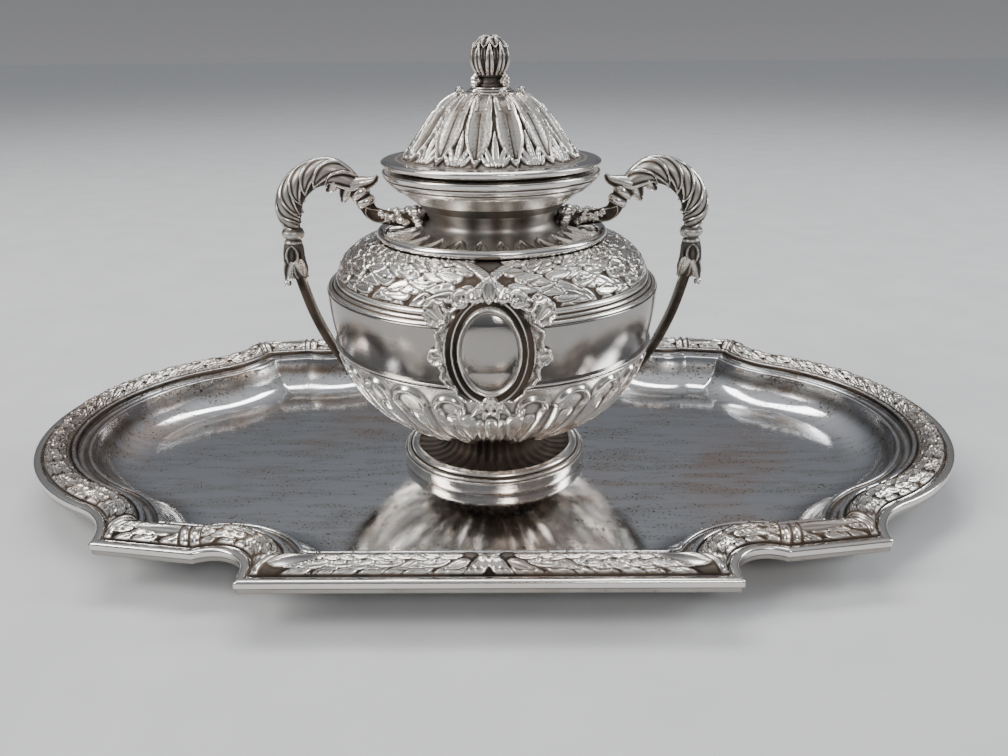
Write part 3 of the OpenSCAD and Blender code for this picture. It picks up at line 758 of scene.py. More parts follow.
def gadroon_heights(line, angle):
    """Raised loops round drops, leaning away from the front and the back, and the middle clusters."""
    s = lengths(line)
    e = (s[-1] - s)[:, None]
    r = line[:, :1]
    h = np.zeros((len(line), len(angle)))
    head_at, head_r, drop_at, drop_r = 6.3, 4.9, 10.2, 2.1
    first, last, count = 14.5, 165.5, 11
    fall = np.clip((e - head_at) / (s[-1] - head_at), 0, 1)
    for k in range(count):
        base = first + (last - first) * k / (count - 1)
        shrink = 0.8 if k in (0, count - 1) else 1.0
        top = head_r * shrink
        lean = 9 * math.sin(2 * math.radians(base)) * fall ** 0.8
        leg = np.radians(7.2 - 4.4 * fall ** 0.7) * r * shrink
        tail = drop_r * np.clip(1 - (e - drop_at) / 13, 0, 1) ** 0.7
        for side in (-1, 1):
            q = nearest(angle - side * np.radians(base - lean)) * r
            d = np.where(e < head_at, top - np.hypot(q, head_at - e), np.minimum(leg, top) - np.abs(q))
            loop = 1.15 * ridge(d, 0.9, 0.7)
            d2 = np.where(e < drop_at, drop_r - np.hypot(q, drop_at - e), tail - np.abs(q)) * shrink
            drop = 0.95 * np.sqrt(np.clip(d2 / drop_r, 0, 1))
            h = np.maximum(h, np.where(d > 0, np.maximum(loop, drop), loop))
    for middle in (0, PI):
        q = nearest(angle - middle) * r
        c = np.zeros_like(h)
        # Place across, width, start below the belt, length and height
        for at, width, start, size, height in (
                (0, 3.2, 9, 15, 0.9), (2.6, 2.4, 9.5, 14, 0.8), (-2.6, 2.4, 9.5, 14, 0.8),
                (5.6, 4.2, 7.6, 12, 1.0), (-5.6, 4.2, 7.6, 12, 1.0)):
            p = e - start
            c = np.maximum(c, leaf(p, q - at * (1 - p / 40), size, width, height, point=0.55, vein=0))
        for turn in (-38, -14, 14, 38):
            c = np.maximum(c, leaf(*rotated(e - 2.5, q, turn), 7, 2.2, 0.75))
        field = np.abs(q) < 7.2 - 0.25 * e
        h = np.where(field | (c > 0.2), c, h)
    return h * smooth(e, 0.4, 1.4) * smooth(s[-1] - e, 0, 2)


def bowl_line(steps):
    height = BOWL_TOP - BOWL_LOW
    return bezier((BOWL_BOTTOM_R, BOWL_LOW), (BOWL_BOTTOM_R * 2, BOWL_LOW + 0.07 * height),
                  (BELT_LOW_R * 0.95, BOWL_LOW + 0.48 * height), (BELT_LOW_R, BOWL_TOP), steps)


def bowl():
    line = resampled(bowl_line(400), 120)
    relief = gadroon_heights(line, turns(FINE))
    # The middle of each loop keeps some shine, so that only its rim and the grooves go dark
    dirt = np.clip(0.8 * grime(relief, 0.95, (3, 3), 0.45) - 0.1, 0, 1)
    inside = behind(line, 12, 1.2, -0.8)
    inside[0] = (BELT_LOW_R - 1, BOWL_TOP)
    inside += [(PIN, BOWL_LOW + 1), (PIN, BOWL_LOW)]
    make("urn_bowl", [turned(line, FINE, relief - 0.35, dirt, inside, 0.7)], chased, "vase",
         "chased_silver", "bowl")


def belt():
    r, z = BELT_LOW_R, BOWL_TOP
    span = BELT_TOP - z
    line = bezier((r, z), (r + 1, z + span / 3), (BELT_R, z + span * 2 / 3), (BELT_R, BELT_TOP), 40)
    line[-1] = line[-2] + [-0.12, 0.2]
    dirt = 0.55 * ridge(line[:, 1:], z, 0.8) + 0.03
    # The belt's silver carries painted dark reflection in its colour
    make("urn_belt", [turned(line, ROUND, dirt=dirt, hidden=behind(line, 8, 1, 0))], mirror, "vase",
         "polished_silver", "belt_band")

    bead = r + BEAD_R
    line = fillet([
        (r - 0.2, z - 0.85), (r + 0.45, z - 0.85), (r + 0.55, z - 0.4), (r + 0.2, z - 0.15),
        (r + 0.25, z + 0.1), (bead, z + 0.25), (bead, z + 0.7), (r, z + 0.9)
    ], 0.25, 0.15)
    make("urn_bead", [turned(line, ROUND, dirt=hollows(line, 0.35, 0.08) * 0.9)], plain, "vase",
         "polished_silver", "belt_bead")


def laurel_heights(s, angle, r):
    """Dense flat-topped leaves with small pits, and crossed ribbons at the front and the back."""
    reach = s.max()
    h = np.zeros((len(s), len(angle)))
    pitch, rows = 3.5, (0.05, 0.2, 0.35, 0.5, 0.65, 0.8, 0.95)
    # Share of the belt's radius at which lengths along the wreath are true
    share = 0.86
    quarter = math.radians(90) * BELT_R * share
    for middle in (0, PI):
        away = nearest(angle - middle)
        for side in (-1, 1):
            c = Canvas(side * away * BELT_R * share + 0 * s[:, None], s[:, None] + 0 * away)
            for k in range(int((quarter - 5) / pitch) + 1, -1, -1):
                for n, row in enumerate(rows):
                    sway = math.sin(1.9 * k + 2.7 * n + side)
                    start = 3.6 + pitch * (k + 0.5 * (n % 2)) + 0.6 * sway
                    c.lay(start, row * reach, (row - 0.5) * 70 + 16 * sway, 6.4 + 0.8 * sway, 3.4,
                          0.5 + 0.05 * sway, flat=0.9, vein=0.4, point=0.55)
                for n in range(4):
                    a = reach * (0.2 + 0.2 * n + 0.06 * math.sin(3 * k + n))
                    c.pit(6 + pitch * (k + 0.3 * n), a, 0.3, 0.45)
            h = np.where((side * away > 0) & (np.abs(away) <= PI / 2 + 0.01), c.h, h)
        for turn in (-1, 1):
            d = away * r * 0.75 + turn * (s[:, None] - reach * 0.5) * 0.66
            near = (np.abs(away) * r < 5.2) & (np.abs(d) < 1.2)
            hatch = ridge((d * 0.2 + s[:, None] * 1.5) % 1, 0.5, 0.2)
            ribbon = 0.55 * smooth(1.2 - np.abs(d), 0, 0.3) - 0.2 * hatch
            h = np.where(near, np.maximum(ribbon, 0.04), h)
    return h * smooth(s, 0.2, 1.0)[:, None] * (1 - smooth(s, reach - 0.9, reach - 0.1))[:, None]


def shoulder():
    r, z = BELT_R, BELT_TOP
    steps = fillet([
        (r - 4.5, z), (r - 0.12, z), (r - 0.5, z + 0.55), (r - 1.5, z + 0.5), (r - 1.8, z + 1.2),
        (r - 2.4, z + 1.2), (r - 2.3, z + 2.1), (r - 2.7, z + 2.5)
    ], 0.25, 0.25)
    dome = bezier((r - 2.7, z + 2.5), (r - 2.9, z + 6.2), (SHOULDER_IN_R + 6, SHOULDER_TOP - 0.5),
                  (SHOULDER_IN_R, SHOULDER_TOP), 78)
    angle = turns(FINE)
    room = 0.3
    laurel = laurel_heights(lengths(dome), angle, dome[:, :1])
    leaf_dirt = 0.9 * grime(np.maximum(laurel, 0), 0.5, (2, 3), 0.8)
    dirt = np.vstack([hollows(steps) * 0.8 + 0.12 + 0 * angle, leaf_dirt[1:]])
    relief = np.vstack([np.zeros((len(steps), FINE)), laurel[1:] - room])
    line = np.vstack([steps, dome[1:]])
    make("urn_shoulder", [turned(line, FINE, relief, dirt, behind(dome, 10, 1, 0.8))], chased, "vase",
         "chased_silver", "shoulder")


def neck_line(steps):
    foot = (SHOULDER_IN_R - NECK_BEAD_R - 0.1, SHOULDER_TOP + 0.5)
    return bezier(foot, (NECK_WAIST_R - 5.2, foot[1] + 1.5), (NECK_WAIST_R - 0.9, NECK_TOP - 5.6),
                  (NECK_TOP_R, NECK_TOP), steps)


def neck():
    t = np.linspace(0, 2 * PI, 24, endpoint=False)
    line = np.stack([SHOULDER_IN_R + NECK_BEAD_R * np.sin(t),
                     SHOULDER_TOP + NECK_BEAD_R * (1 - np.cos(t))], 1)
    make("neck_wire", [turned(line, ROUND, dirt=0.5 * ridge(t[:, None], 0, 1.1))], plain, "vase",
         "polished_silver", "neck_ring")

    line = neck_line(90)
    s = lengths(line)[:, None]
    r = line[:, :1]
    count = 540
    angle = turns(count)
    h = np.zeros((len(line), count))
    tongues = 26
    for k in range(tongues):
        at = 2 * PI * (k + 0.5) / tongues
        tall = 7.6 + 2.2 * abs(math.sin(at)) ** 12
        q = nearest(angle - at) * r
        d = 0.46 * 2 * PI / tongues * r * arch(s, tall) - np.abs(q)
        tongue = 0.75 * ridge(d, 0.45, 0.4) + 0.5 * ridge(q, 0, 0.4) * (d > 0.6)
        h = np.maximum(h, np.where(d > 0, tongue, 0))
    drips = 0.12 * np.sin(11 * angle + 2.5 * np.sin(3 * angle)) * smooth(s, 5, 9)
    dirt = np.clip(0.38 - 1.2 * h + 0.3 * smooth(s, 6, 12) - 0.45 * smooth(s, 13, 20) + drips, 0, 1)
    inside = behind(line[:-8:10], 1, 0.7, 0.5)
    inside[0] = (NECK_TOP_R - 1, NECK_TOP)
    make("urn_neck", [turned(line, count, h - 0.1, dirt, inside)], chased, "vase", "chased_silver",
         "neck")


def rim():
    r, z = NECK_TOP_R, NECK_TOP
    shelf = NECK_WAIST_R - 1
    flare = RIM_R - r
    top = LIP_TOP - 0.9
    line = fillet([
        (shelf, z - 1.5), (r - 4.4, z - 1.5), (r - 1.2, z), (r + 0.3, z), (r + flare * 0.3, z + 0.7),
        (r + flare * 0.42, z + 1.25), (r + flare * 0.6, z + 1.3), (r + flare * 0.75, z + 2.0),
        (r + flare * 0.78, z + 2.5), (RIM_R - 0.1, z + 2.7), (RIM_R, top - 0.35), (RIM_R - 0.5, top),
        (BORE_R + 1.5, top), (BORE_R + 1.35, LIP_TOP), (BORE_R + 0.05, LIP_TOP), (BORE_R, z - 0.5),
        (shelf, z - 0.5)
    ], 0.28, 0.25)
    dirt = hollows(line, 0.45, 0.1) * 0.9 + 0.3 * smooth(line[:, 1:], top - 0.2, top + 0.2) + 0.06
    make("urn_rim", [turned(line, ROUND, dirt=np.clip(dirt, 0, 1))], plain, "vase", "polished_silver",
         "rim_ring")


# ---------- Ink glass and lid ----------

def ink_glass():
    bottom = low("ink_glass").z
    flange, _, top = high("ink_glass")
    r = GLASS_R
    inner = r - GLASS_WALL
    inside = bottom + 3.5
    seat = NECK_TOP - 0.5
    line = fillet([
        (PIN, bottom + 0.5), (r - 4, bottom + 0.4), (r - 2, bottom), (r, bottom + 2), (r, seat),
        (flange, seat), (flange, top), (inner, top), (inner, inside + 2), (inner - 2, inside),
        (PIN, inside)
    ], 0.7, 2.5)
    make("ink_liner", [turned(line, 120, closed=False)], clear_glass(), "glass", "clear_glass",
         "ink_glass")


def dome_line(count):
    line = bezier((DOME_R, LID_TOP), (DOME_R - 4.7, LID_TOP + 0.32 * (DOME_TOP - LID_TOP)),
                  (CROWN_R + 5, DOME_TOP - 1.4), (CROWN_R - 0.8, DOME_TOP), 300)
    return resampled(line, count)


def dome_heights(line, angle):
    """Fourteen long leaves with thin raised rims, and a small ribbed leaf between each two."""
    s = lengths(line)
    v = (1 - s / s[-1])[:, None]
    r = line[:, :1]
    leaves = 14
    pitch = 2 * PI / leaves
    start = math.radians(-8.8)
    # Half width of a leaf, as a share of the pitch, from its tip at the rim to its foot at the crown
    marks = (0, 0.2, 0.33, 0.45, 0.6, 0.7, 0.8, 0.9, 0.97)
    widths = (0.47, 0.47, 0.44, 0.44, 0.40, 0.32, 0.20, 0.09, 0)
    half = np.interp(v, marks, widths) * pitch * r
    q = nearest(angle, leaves, start) * r
    d = half - np.abs(q)
    dished = -0.42 * (1 - (q / (half + 0.2)) ** 2) * (half > 1)
    h = np.where(d > 0, 0.45 + dished, 0)
    h = h + 0.5 * ridge(d, 0.26, 0.2) * (v < 0.985)
    h = h - 0.45 * ridge(v, 0.33, 0.03) * ridge(d, -0.1, 0.4)
    # A vein line, and a second strip line beside the rim
    h = h - 0.12 * ridge(q, 0, 0.22) * (v > 0.3) * (d > 0.5)
    h = h + 0.3 * ridge(np.abs(q), 1.15, 0.24) * (v < 0.26)
    # The small five-lobed leaf between two long ones: turn, length, width and shift of each lobe
    w = ((angle - start) % pitch - pitch / 2) * r
    e = s[-1] * (1 - v)
    for turn, size, width, shift in ((0, 8.6, 1.7, 0), (20, 6, 1.3, 0.6), (-20, 6, 1.3, -0.6),
                                     (34, 3.6, 1.1, 1.4), (-34, 3.6, 1.1, -1.4)):
        lobe = leaf(*rotated(e - 0.8, w - shift, turn), size, width, 0.6, point=0.8, vein=0.35)
        h = np.where(d < 0, np.maximum(h, lobe), h)
    return h


def lid():
    r, z = LID_R, LID_TOP
    inner = BORE_R - 1.3
    line = fillet([
        (inner, LID_LOW), (r - 0.2, LID_LOW), (r, LID_LOW + 0.5), (r, z - 0.5), (r - 0.7, z - 0.05),
        (DOME_R + 0.3, z), (DOME_R - 1, z), (inner, z)
    ], 0.55, 0.3)
    dirt = 0.75 * ridge(line[:, :1], DOME_R + 0.3, 1.1) + 0.05
    make("lid_plate", [turned(line, ROUND, dirt=dirt)], plain, "lid", "polished_silver", "lid_flange")

    line = dome_line(100)
    count = 700
    angle = turns(count)
    up = line[:, 1:]
    hammer = np.sin(53 * angle + 3 * np.sin(2.1 * up)) * np.sin(3.7 * up + 4 * np.sin(17 * angle))
    hammer = 0.035 * hammer
    leaves = dome_heights(line, angle)
    scallop = 0.35 * ridge(lengths(line)[:, None], 0.5, 0.5) * (0.6 + 0.4 * np.cos(28 * angle))
    hollow = smooth(0.2 - leaves, 0, 0.15) * 0.25 + 5 * np.clip(-hammer - 0.008, 0, 1)
    dirt = np.clip(grime(leaves, 0.85, (2, 3), 0.42) + hollow, 0, 1)
    hole = STUD_R + 0.1
    top = [(CROWN_R - 1.6, DOME_TOP), (hole, DOME_TOP), (hole, DOME_TOP - 0.9)]
    inside = behind(line, 10, 0.9, 0.3)
    inside[-1] = (DOME_R - 0.9, z)
    make("lid_leaves", [turned(line, count, leaves + hammer + scallop - 0.5, dirt, top + inside, 0.6)],
         chased, "lid", "chased_silver", "lid_dome")

    ring_r, ring_low = high("lid_bezel").x, low("lid_bezel").z
    line = [(inner, ring_low), (ring_r, ring_low), (ring_r, LID_LOW), (inner, LID_LOW)]
    line = fillet(line, 0.25, 0.6)
    make("lid_ring", [turned(line, 180, dirt=0.4)], old, "lid", "chased_silver", "lid_bezel")


def curl(centre, radius, wide, thick):
    """A strip rolled into a little scroll that stands on edge; centre is (radius, angle, height)."""
    steps, first, rolled = 26, -0.35 * PI, 1.15 * 2 * PI
    r0, at, z0 = centre
    t = np.linspace(first, rolled + first, steps)
    reach = radius * (1 - 0.62 * np.linspace(0, 1, steps))
    mid = np.stack([r0 + reach * np.cos(t), z0 + reach * np.sin(t)], 1)
    out = np.stack([np.cos(t), np.sin(t)], 1)
    k = np.linspace(0, 2 * PI, 12, endpoint=False)
    taper = np.clip(np.minimum(np.arange(steps), np.arange(steps)[::-1]) / 2, 0.25, 1)[:, None]
    swell = thick / 2 * np.sin(k) * taper
    r = mid[:, :1] + out[:, :1] * swell
    z = mid[:, 1:] + out[:, 1:] * swell
    y = wide / 2 * np.cos(k) * (0.6 + 0.4 * taper) + 0 * r
    c, s = math.cos(at), math.sin(at)
    return Patch(np.stack([r * s + y * c, -r * c + y * s, z], -1), 0.15)


def bulb(centre, sizes, turn=0.0, ribs=0, dirt=0.2):
    """A small rounded boss, ribbed if asked, with its own axis upright; turned about Z."""
    t = np.linspace(0.02, PI - 0.02, 14)[:, None]
    k = turns(20)
    swell = 1 + (0.12 * np.cos(ribs * k) if ribs else 0)
    x = sizes[0] * np.sin(t) * np.sin(k) * swell
    y = -sizes[1] * np.sin(t) * np.cos(k) * swell
    z = -sizes[2] * np.cos(t) + 0 * k
    c, s = math.cos(turn), math.sin(turn)
    points = np.stack([centre[0] + x * c - y * s, centre[1] + x * s + y * c, centre[2] + z], -1)
    return Patch(points, dirt)


def crown():
    """Small disc on the dome with a ring of little scrolls."""
    z, hole = DOME_TOP, STUD_R + 0.05
    line = fillet([
        (hole, z), (CROWN_R - 1.5, z), (CROWN_R - 1.7, z + 0.35), (BUD_R + 0.7, z + 0.5),
        (BUD_R + 0.4, z + 0.9), (BUD_R, z + 0.95), (BUD_R, CROWN_TOP), (hole, CROWN_TOP)
    ], 0.22, 0.2)
    curls = 8
    radius = 0.68
    patches = [turned(line, 120, dirt=hollows(line, 0.3, 0.06) * 0.9 + 0.15)]
    for i in range(curls):
        centre = (CROWN_R - radius - 0.05, 2 * PI * (i + 0.5) / curls, z + radius)
        patches.append(curl(centre, radius, 1.6, 0.34))
    make("lid_crown", patches, chased, "lid", "chased_silver", "crown_ring")


def collar():
    """Waisted collar under the bud, with a cluster of ribbed bosses towards each corner."""
    z, hole = CROWN_TOP, STUD_R + 0.05
    line = fillet([
        (hole, z), (2.9, z), (3.0, z + 0.5), (2.3, z + 1.1), (2.2, z + 1.9),
        (2.9, z + (BUD_LOW - z) - 0.3), (3.0, BUD_LOW), (hole, BUD_LOW)
    ], 0.3, 0.2)
    patches = [turned(line, 80, dirt=0.8)]
    # Radius, height above the crown and size of each boss
    cluster = ((3.9, 0.85, 1.15), (4.05, 1.75, 0.95), (3.6, 2.45, 0.7), (3.1, 1.4, 1.0))
    for side in (-1, 1):
        for at in (62, 118):
            a = side * math.radians(at)
            for r, up, size in cluster:
                centre = polar(r, a, z + up)
                patches.append(bulb(centre, (size, size * 0.9, size * 0.8), a, 5))
    make("finial_neck", patches, chased, "lid", "chased_silver", "finial_collar")


def bud():
    """Ball of long leaves in two tiers, closed at the top by two rings of short ones."""
    count, rows = 240, 90
    bottom = math.radians(42)
    a = np.linspace(bottom - PI / 2, PI / 2 - 0.004, rows)
    up = (np.sin(a) + math.cos(bottom)) / (1 + math.cos(bottom))
    line = np.stack([BUD_R * np.cos(a), BUD_LOW + (BUD_TOP - BUD_LOW) * up], 1)
    s = lengths(line)[:, None]
    angle = turns(count)
    h = np.zeros((rows, count))
    # How many leaves stand round, start up the side, length, width, height, and turn in pitches
    for ribs, start, size, width, tall, shift in (
            (9, -1.0, 9.0, 2.2, 0.7, 0.5), (9, -2.4, 10.2, 2.6, 0.95, 0),
            (9, 6.4, 4.4, 2.6, 1.1, 0.5), (6, 9.0, 4.2, 2.3, 1.1, 0.2)):
        q = nearest(angle, ribs, shift * (2 * PI / ribs)) * line[:, :1]
        rim = 0.25 * (start > 6)
        h = over(h, leaf(s - start, q, size, width, tall, point=0.9, vein=0.45, rim=rim))
    relief = h - 0.9
    relief[0] = 0
    dirt = grime(h, 1.1, (3, 4), 2.1)
    make("finial_ball", [turned(line, count, relief, dirt, [(STUD_R + 0.05, BUD_LOW)])], chased, "lid",
         "chased_silver", "finial_bud")


# ---------- Cartouches ----------

CAST_STEP = 0.2     # distance between two points of the cast frame


def ellipse(x, z, w, h):
    """Distance outside an oval, roughly, in millimetres."""
    k = np.hypot(x / (w / 2), z / (h / 2))
    return (k - 1) * np.minimum(w, h) / 2 * 0.98


def disc(x, z, cx, cz, r):
    return np.hypot(x - cx, z - cz) - r


def belt_radius(z):
    """Radius that the cartouche's back follows: wire and belt, and a lean to the shoulder above."""
    t = np.clip((z - BOWL_TOP) / (BELT_TOP - BOWL_TOP), 0, 1)
    lean = 0.2 * np.clip(z - BELT_TOP - 1, 0, None)
    belt = BELT_LOW_R + (BELT_R - BELT_LOW_R) * np.sin(t * PI / 2)
    return np.maximum(BELT_LOW_R + BEAD_R, belt) - lean


def cartouche_cast():
    """Cast frame: an oval moulding in a scrolled border with ears, crest, bosses and leaves."""
    wide, down, up = 15, 15, 16
    x, z = np.meshgrid(np.arange(-wide, wide + CAST_STEP, CAST_STEP),
                       np.arange(-down, up + CAST_STEP, CAST_STEP))
    ax = np.abs(x)
    d = ellipse(x, z, MEDAL_W, MEDAL_H)
    half_w, half_h = FRAME_W / 2, FRAME_H / 2

    # The outline, as a distance that is below 0 inside
    border = ellipse(x, z, FRAME_W + 4.6, FRAME_H + 1.8)
    around = np.arctan2(z, ax)
    wave = 0.38 * np.sin(around * 13) + 0.15 * np.sin(around * 29 + 1)
    ear = disc(ax, z, half_w + 1.5, half_h - 3.3, 2.9) + 0.18 * np.sin(8 * np.arctan2(z - 8.2, ax - 11))
    side = disc(ax, z, half_w + 1.6, -1.4, 2.2) + 0.12 * np.sin(6 * np.arctan2(z + 1.4, ax - 11.1))
    crest_side = ax - 2.6 + 0.35 * np.clip(z - 12, 0, 4)
    crest = np.maximum(crest_side, np.abs(z - 13.0) - 2.9) - 0.2 * np.cos(5 * x)
    boss = disc(ax, z, FRAME_W * 0.18, half_h + 0.5, 1.7)
    foot = disc(x, z, 0, -half_h - 0.3, 2.6) + 0.3 * np.cos(4 * x)
    knee = disc(ax, z, FRAME_W * 0.3, half_h - 0.1, 2.1)
    shape = border + wave
    for other in (ear, side, crest, boss, foot, knee):
        shape = np.minimum(shape, other)
    shape = np.maximum(shape, -(d + 0.35))

    # Pebbly ground behind a raised edge, and ribbed shells on the ears and the sides
    edge = np.clip(-shape, 0, None)
    pebbles = 0.16 * np.sin(5.2 * x + 2 * np.sin(3.1 * z)) * np.sin(5.6 * z + 2 * np.sin(2.7 * x))
    h = 0.4 + 0.5 * np.sqrt(np.clip(edge / 0.5, 0, 1)) + 0.7 * ridge(edge, 0.6, 0.38)
    h = h - 0.3 * ridge(edge, 1.35, 0.35) + pebbles * smooth(edge, 1.2, 1.8)
    fan = np.arctan2(z - 6.2, ax - 9.2)
    shell = 0.75 + 0.85 * ridge(-ear, 0.55, 0.38) + 0.2 * np.cos(fan * 11) * smooth(-ear, 0.9, 1.3)
    h = np.where(ear < 0, shell * smooth(-ear, -0.2, 0.25), h)
    fan = np.arctan2(z + 1.4, ax - 9.5)
    shell = 0.7 + 0.7 * ridge(-side, 0.5, 0.35) + 0.15 * np.cos(fan * 9) * smooth(-side, 0.8, 1.2)
    h = np.where((side < 0) & (border > -1.5), shell, h)

    # Leaves at the foot, on both sides and in the crest, and berries on each side of the crest
    c = Canvas(x, z)
    for turn in (-90, -60, -120):
        c.leaf(0, -9.8, turn, 4.4, 2.2, 1.5, vein=0.3)
    for sign in (-1, 1):
        for at, up, turn, size, width, height, vein in (
                (7.6, 9.6, 90 + sign * 34, 4.6, 2.2, 1.5, 0.2),
                (10.2, -4.2, -90 + sign * 12, 5.5, 1.9, 1.35, 0.2),
                (8.2, -7.8, -90 + sign * 40, 4.8, 1.9, 1.35, 0.2),
                (1.2, 10.9, 90 - sign * 26, 5.0, 2.2, 1.6, 0.3)):
            c.leaf(sign * at, up, turn, size, width, height, vein=vein)
    c.lay(0, 10.6, 90, 6.4, 3.2, 1.95, vein=0.4)
    for sign in (-1, 1):
        c.berry(sign * 2.9, 11.7, 1.55, 2.1)
        c.berry(sign * 5.3, 10.9, 1.1, 1.6)
    h = np.maximum(h, np.where(c.h > 0.1, c.h, -1))

    # The oval moulding, with a thin ring on its hollow; the hollow is darkened by tarnish and by painted
    # dark reflection
    oval = 0.7 + 0.85 * ridge(d, 0.45, 0.26) + 1.15 * smooth(d, 1.0, 3.4) ** 0.8
    oval = oval + 0.3 * ridge(d, 3.2, 0.2) + 0.3 * ridge(d, 1.75, 0.16) - 0.35 * ridge(d, 2.85, 0.14)
    frame_edge = ellipse(x, z, FRAME_W, FRAME_H)
    inside = (frame_edge < 0) & (c.h < oval)
    h = np.where(inside, np.minimum(oval, 0.5 + 2.2 * np.sqrt(np.clip(-frame_edge / 0.6, 0, 1))), h)
    # Painted dark reflection over tarnish: the wide hollow round the oval goes almost black, its thin
    # ring excepted
    hollow = smooth(d, 0.75, 0.95) * (1 - smooth(d, 2.9, 3.1)) * (1 - ridge(d, 1.75, 0.14)) * inside
    dirt = np.clip(grime(h, 2.0, (3, 3), 0.55, False) + 0.95 * hollow, 0, 1)
    return plate(x, z, shape, h, dirt)


def plate(x, z, shape, h, dirt):
    """Solid plate over the belt where shape is below 0, as points, quads and dirt."""
    # Points just outside the outline are drawn in to it
    gz, gx = np.gradient(shape, CAST_STEP)
    size = np.hypot(gx, gz) + 1e-6
    pull = np.minimum(np.where((shape > 0) & (shape < 0.3), shape / size, 0), 0.25)
    xs = x - pull * gx / size
    zs = z - pull * gz / size
    middle = BOWL_TOP + MEDAL_UP
    r = belt_radius(zs + middle)

    def laid(height):
        return polar(r + height, xs / r, zs + middle).reshape(-1, 3)

    keep = shape < 0.2
    m, n = x.shape
    index = np.arange(m * n).reshape(m, n)
    cell = keep[:-1, :-1] & keep[1:, :-1] & keep[:-1, 1:] & keep[1:, 1:]
    a, b, c, d = index[:-1, :-1][cell], index[:-1, 1:][cell], index[1:, 1:][cell], index[1:, :-1][cell]
    quads = [np.stack([a, b, c, d], 1), np.stack([d, c, b, a], 1) + m * n]
    # A wall at each side of a cell that has no neighbour there
    padded = np.pad(cell, 1)
    for (dy, dx), (p, q) in (((-1, 0), ((0, 0), (0, 1))), ((1, 0), ((1, 1), (1, 0))),
                             ((0, -1), ((1, 0), (0, 0))), ((0, 1), ((0, 1), (1, 1)))):
        other = padded[1 + dy:padded.shape[0] - 1 + dy, 1 + dx:padded.shape[1] - 1 + dx]
        i, j = np.nonzero(cell & ~other)
        p, q = index[i + p[0], j + p[1]], index[i + q[0], j + q[1]]
        quads.append(np.stack([q, p, p + m * n, q + m * n], 1))
    quads = np.vstack(quads)
    lift = np.where(shape > -0.01, 0.3, h)
    points = np.vstack([laid(lift), laid(np.full_like(lift, 0.03))])
    dirts = np.concatenate([dirt.ravel(), np.full(m * n, 0.7)])
    used, fresh = np.unique(quads, return_inverse=True)
    return points[used], fresh.reshape(quads.shape), dirts[used]


def medallion_patch():
    """Blank convex oval with a turned edge."""
    k = np.linspace(0.002, 1, 34)[:, None]
    angle = turns(120)
    rise = 1.45 * arch(0.93 * k, 1) + 0.3 + 0 * angle
    rise[-1] = 0.05
    z = BOWL_TOP + MEDAL_UP - MEDAL_H / 2 * k * np.cos(angle)
    r = belt_radius(z)
    points = polar(r + rise, MEDAL_W / 2 * k * np.sin(angle) / r, z)
    dirt = 0.7 * smooth(k, 0.94, 1) + 0 * angle
    return Patch(points[::-1], dirt[::-1])


def cartouches():
    points, quads, dirt = cartouche_cast()
    for way, turn in (("front", 1), ("back", -1)):
        moved = points * [turn, turn, 1]
        name = "cartouche_" + way
        place(name + "_cast", mesh_of(name, moved, quads, dirt), chased, "vase", "chased_silver", [name])
    patch = medallion_patch()
    # The medallions' silver carries painted dark reflection in its colour
    make("medal_front", [patch], mirror, "vase", "polished_silver", "medallion_front")
    make("medal_back", half_turned([patch]), mirror, "vase", "polished_silver", "medallion_back")


# ---------- Handles ----------

# Where the scroll springs from the neck
ROOT = neck_line(12)[5] + [0.9, 0.2]

# Share of the way out, share of the way up, and share of the scroll's half width
SCROLL = (
    (-0.02, 0, 0.5), (0.14, -0.02, 0.6), (0.28, 0.03, 0.6), (0.39, 0.14, 0.62), (0.455, 0.5, 0.68),
    (0.525, 0.69, 0.78), (0.605, 0.9, 0.92), (0.695, 1, 1.02), (0.84, 0.89, 1.06), (0.955, 0.58, 1.05),
    (1, 0.22, 0.98), (0.995, -0.05, 0.72), (0.99, -0.19, 0.55)
)
TIP = ((0.52, 0.7, 0.7), (0.45, 0.75, 0.6), (0.4, 0.78, 0.45), (0.36, 0.83, 0.32), (0.335, 0.92, 0.12))
HUSK = (
    (0.99, -0.195, 0.5), (0.99, -0.22, 0.78), (0.99, -0.34, 0.84), (0.992, -0.43, 0.6),
    (0.993, -0.47, 0.6), (0.995, -0.62, 0.8), (0.997, -0.88, 0.86), (0.98, -1.15, 0.7),
    (0.97, -1.28, 0.5)
)
# Curled leaf ends: two below the husk and two under the bend of the scroll
HUSK_TIPS = (
    ((1.0, -0.9, 0.7), (1.03, -1.1, 0.6), (1.05, -1.27, 0.42), (1.075, -1.36, 0.15)),
    ((0.985, -0.9, 0.7), (0.955, -1.08, 0.6), (0.935, -1.22, 0.4), (0.91, -1.3, 0.12))
)
BEND_TIPS = (
    ((0.55, 0.68, 0.62), (0.575, 0.52, 0.5), (0.59, 0.42, 0.3), (0.61, 0.38, 0.1)),
    ((0.64, 0.84, 0.62), (0.67, 0.7, 0.5), (0.69, 0.63, 0.3), (0.715, 0.61, 0.1))
)
ROD = ((0.975, -1.1), (0.962, -1.31), (0.89, -2.04), (0.8, -2.67))
ROD_ON_BOWL = ((0.86, 1.9), (0.7, 1.3), (0.55, 0.95))


def at_handle(line):
    """Points of (radius, height, half width), in millimetres, from the shares in the tables above."""
    out, up = HANDLE_OUT_R - ROOT[0], HANDLE_TOP - ROOT[1]
    return [(ROOT[0] + u * out, ROOT[1] + v * up, w * SCROLL_R) for u, v, w in line]


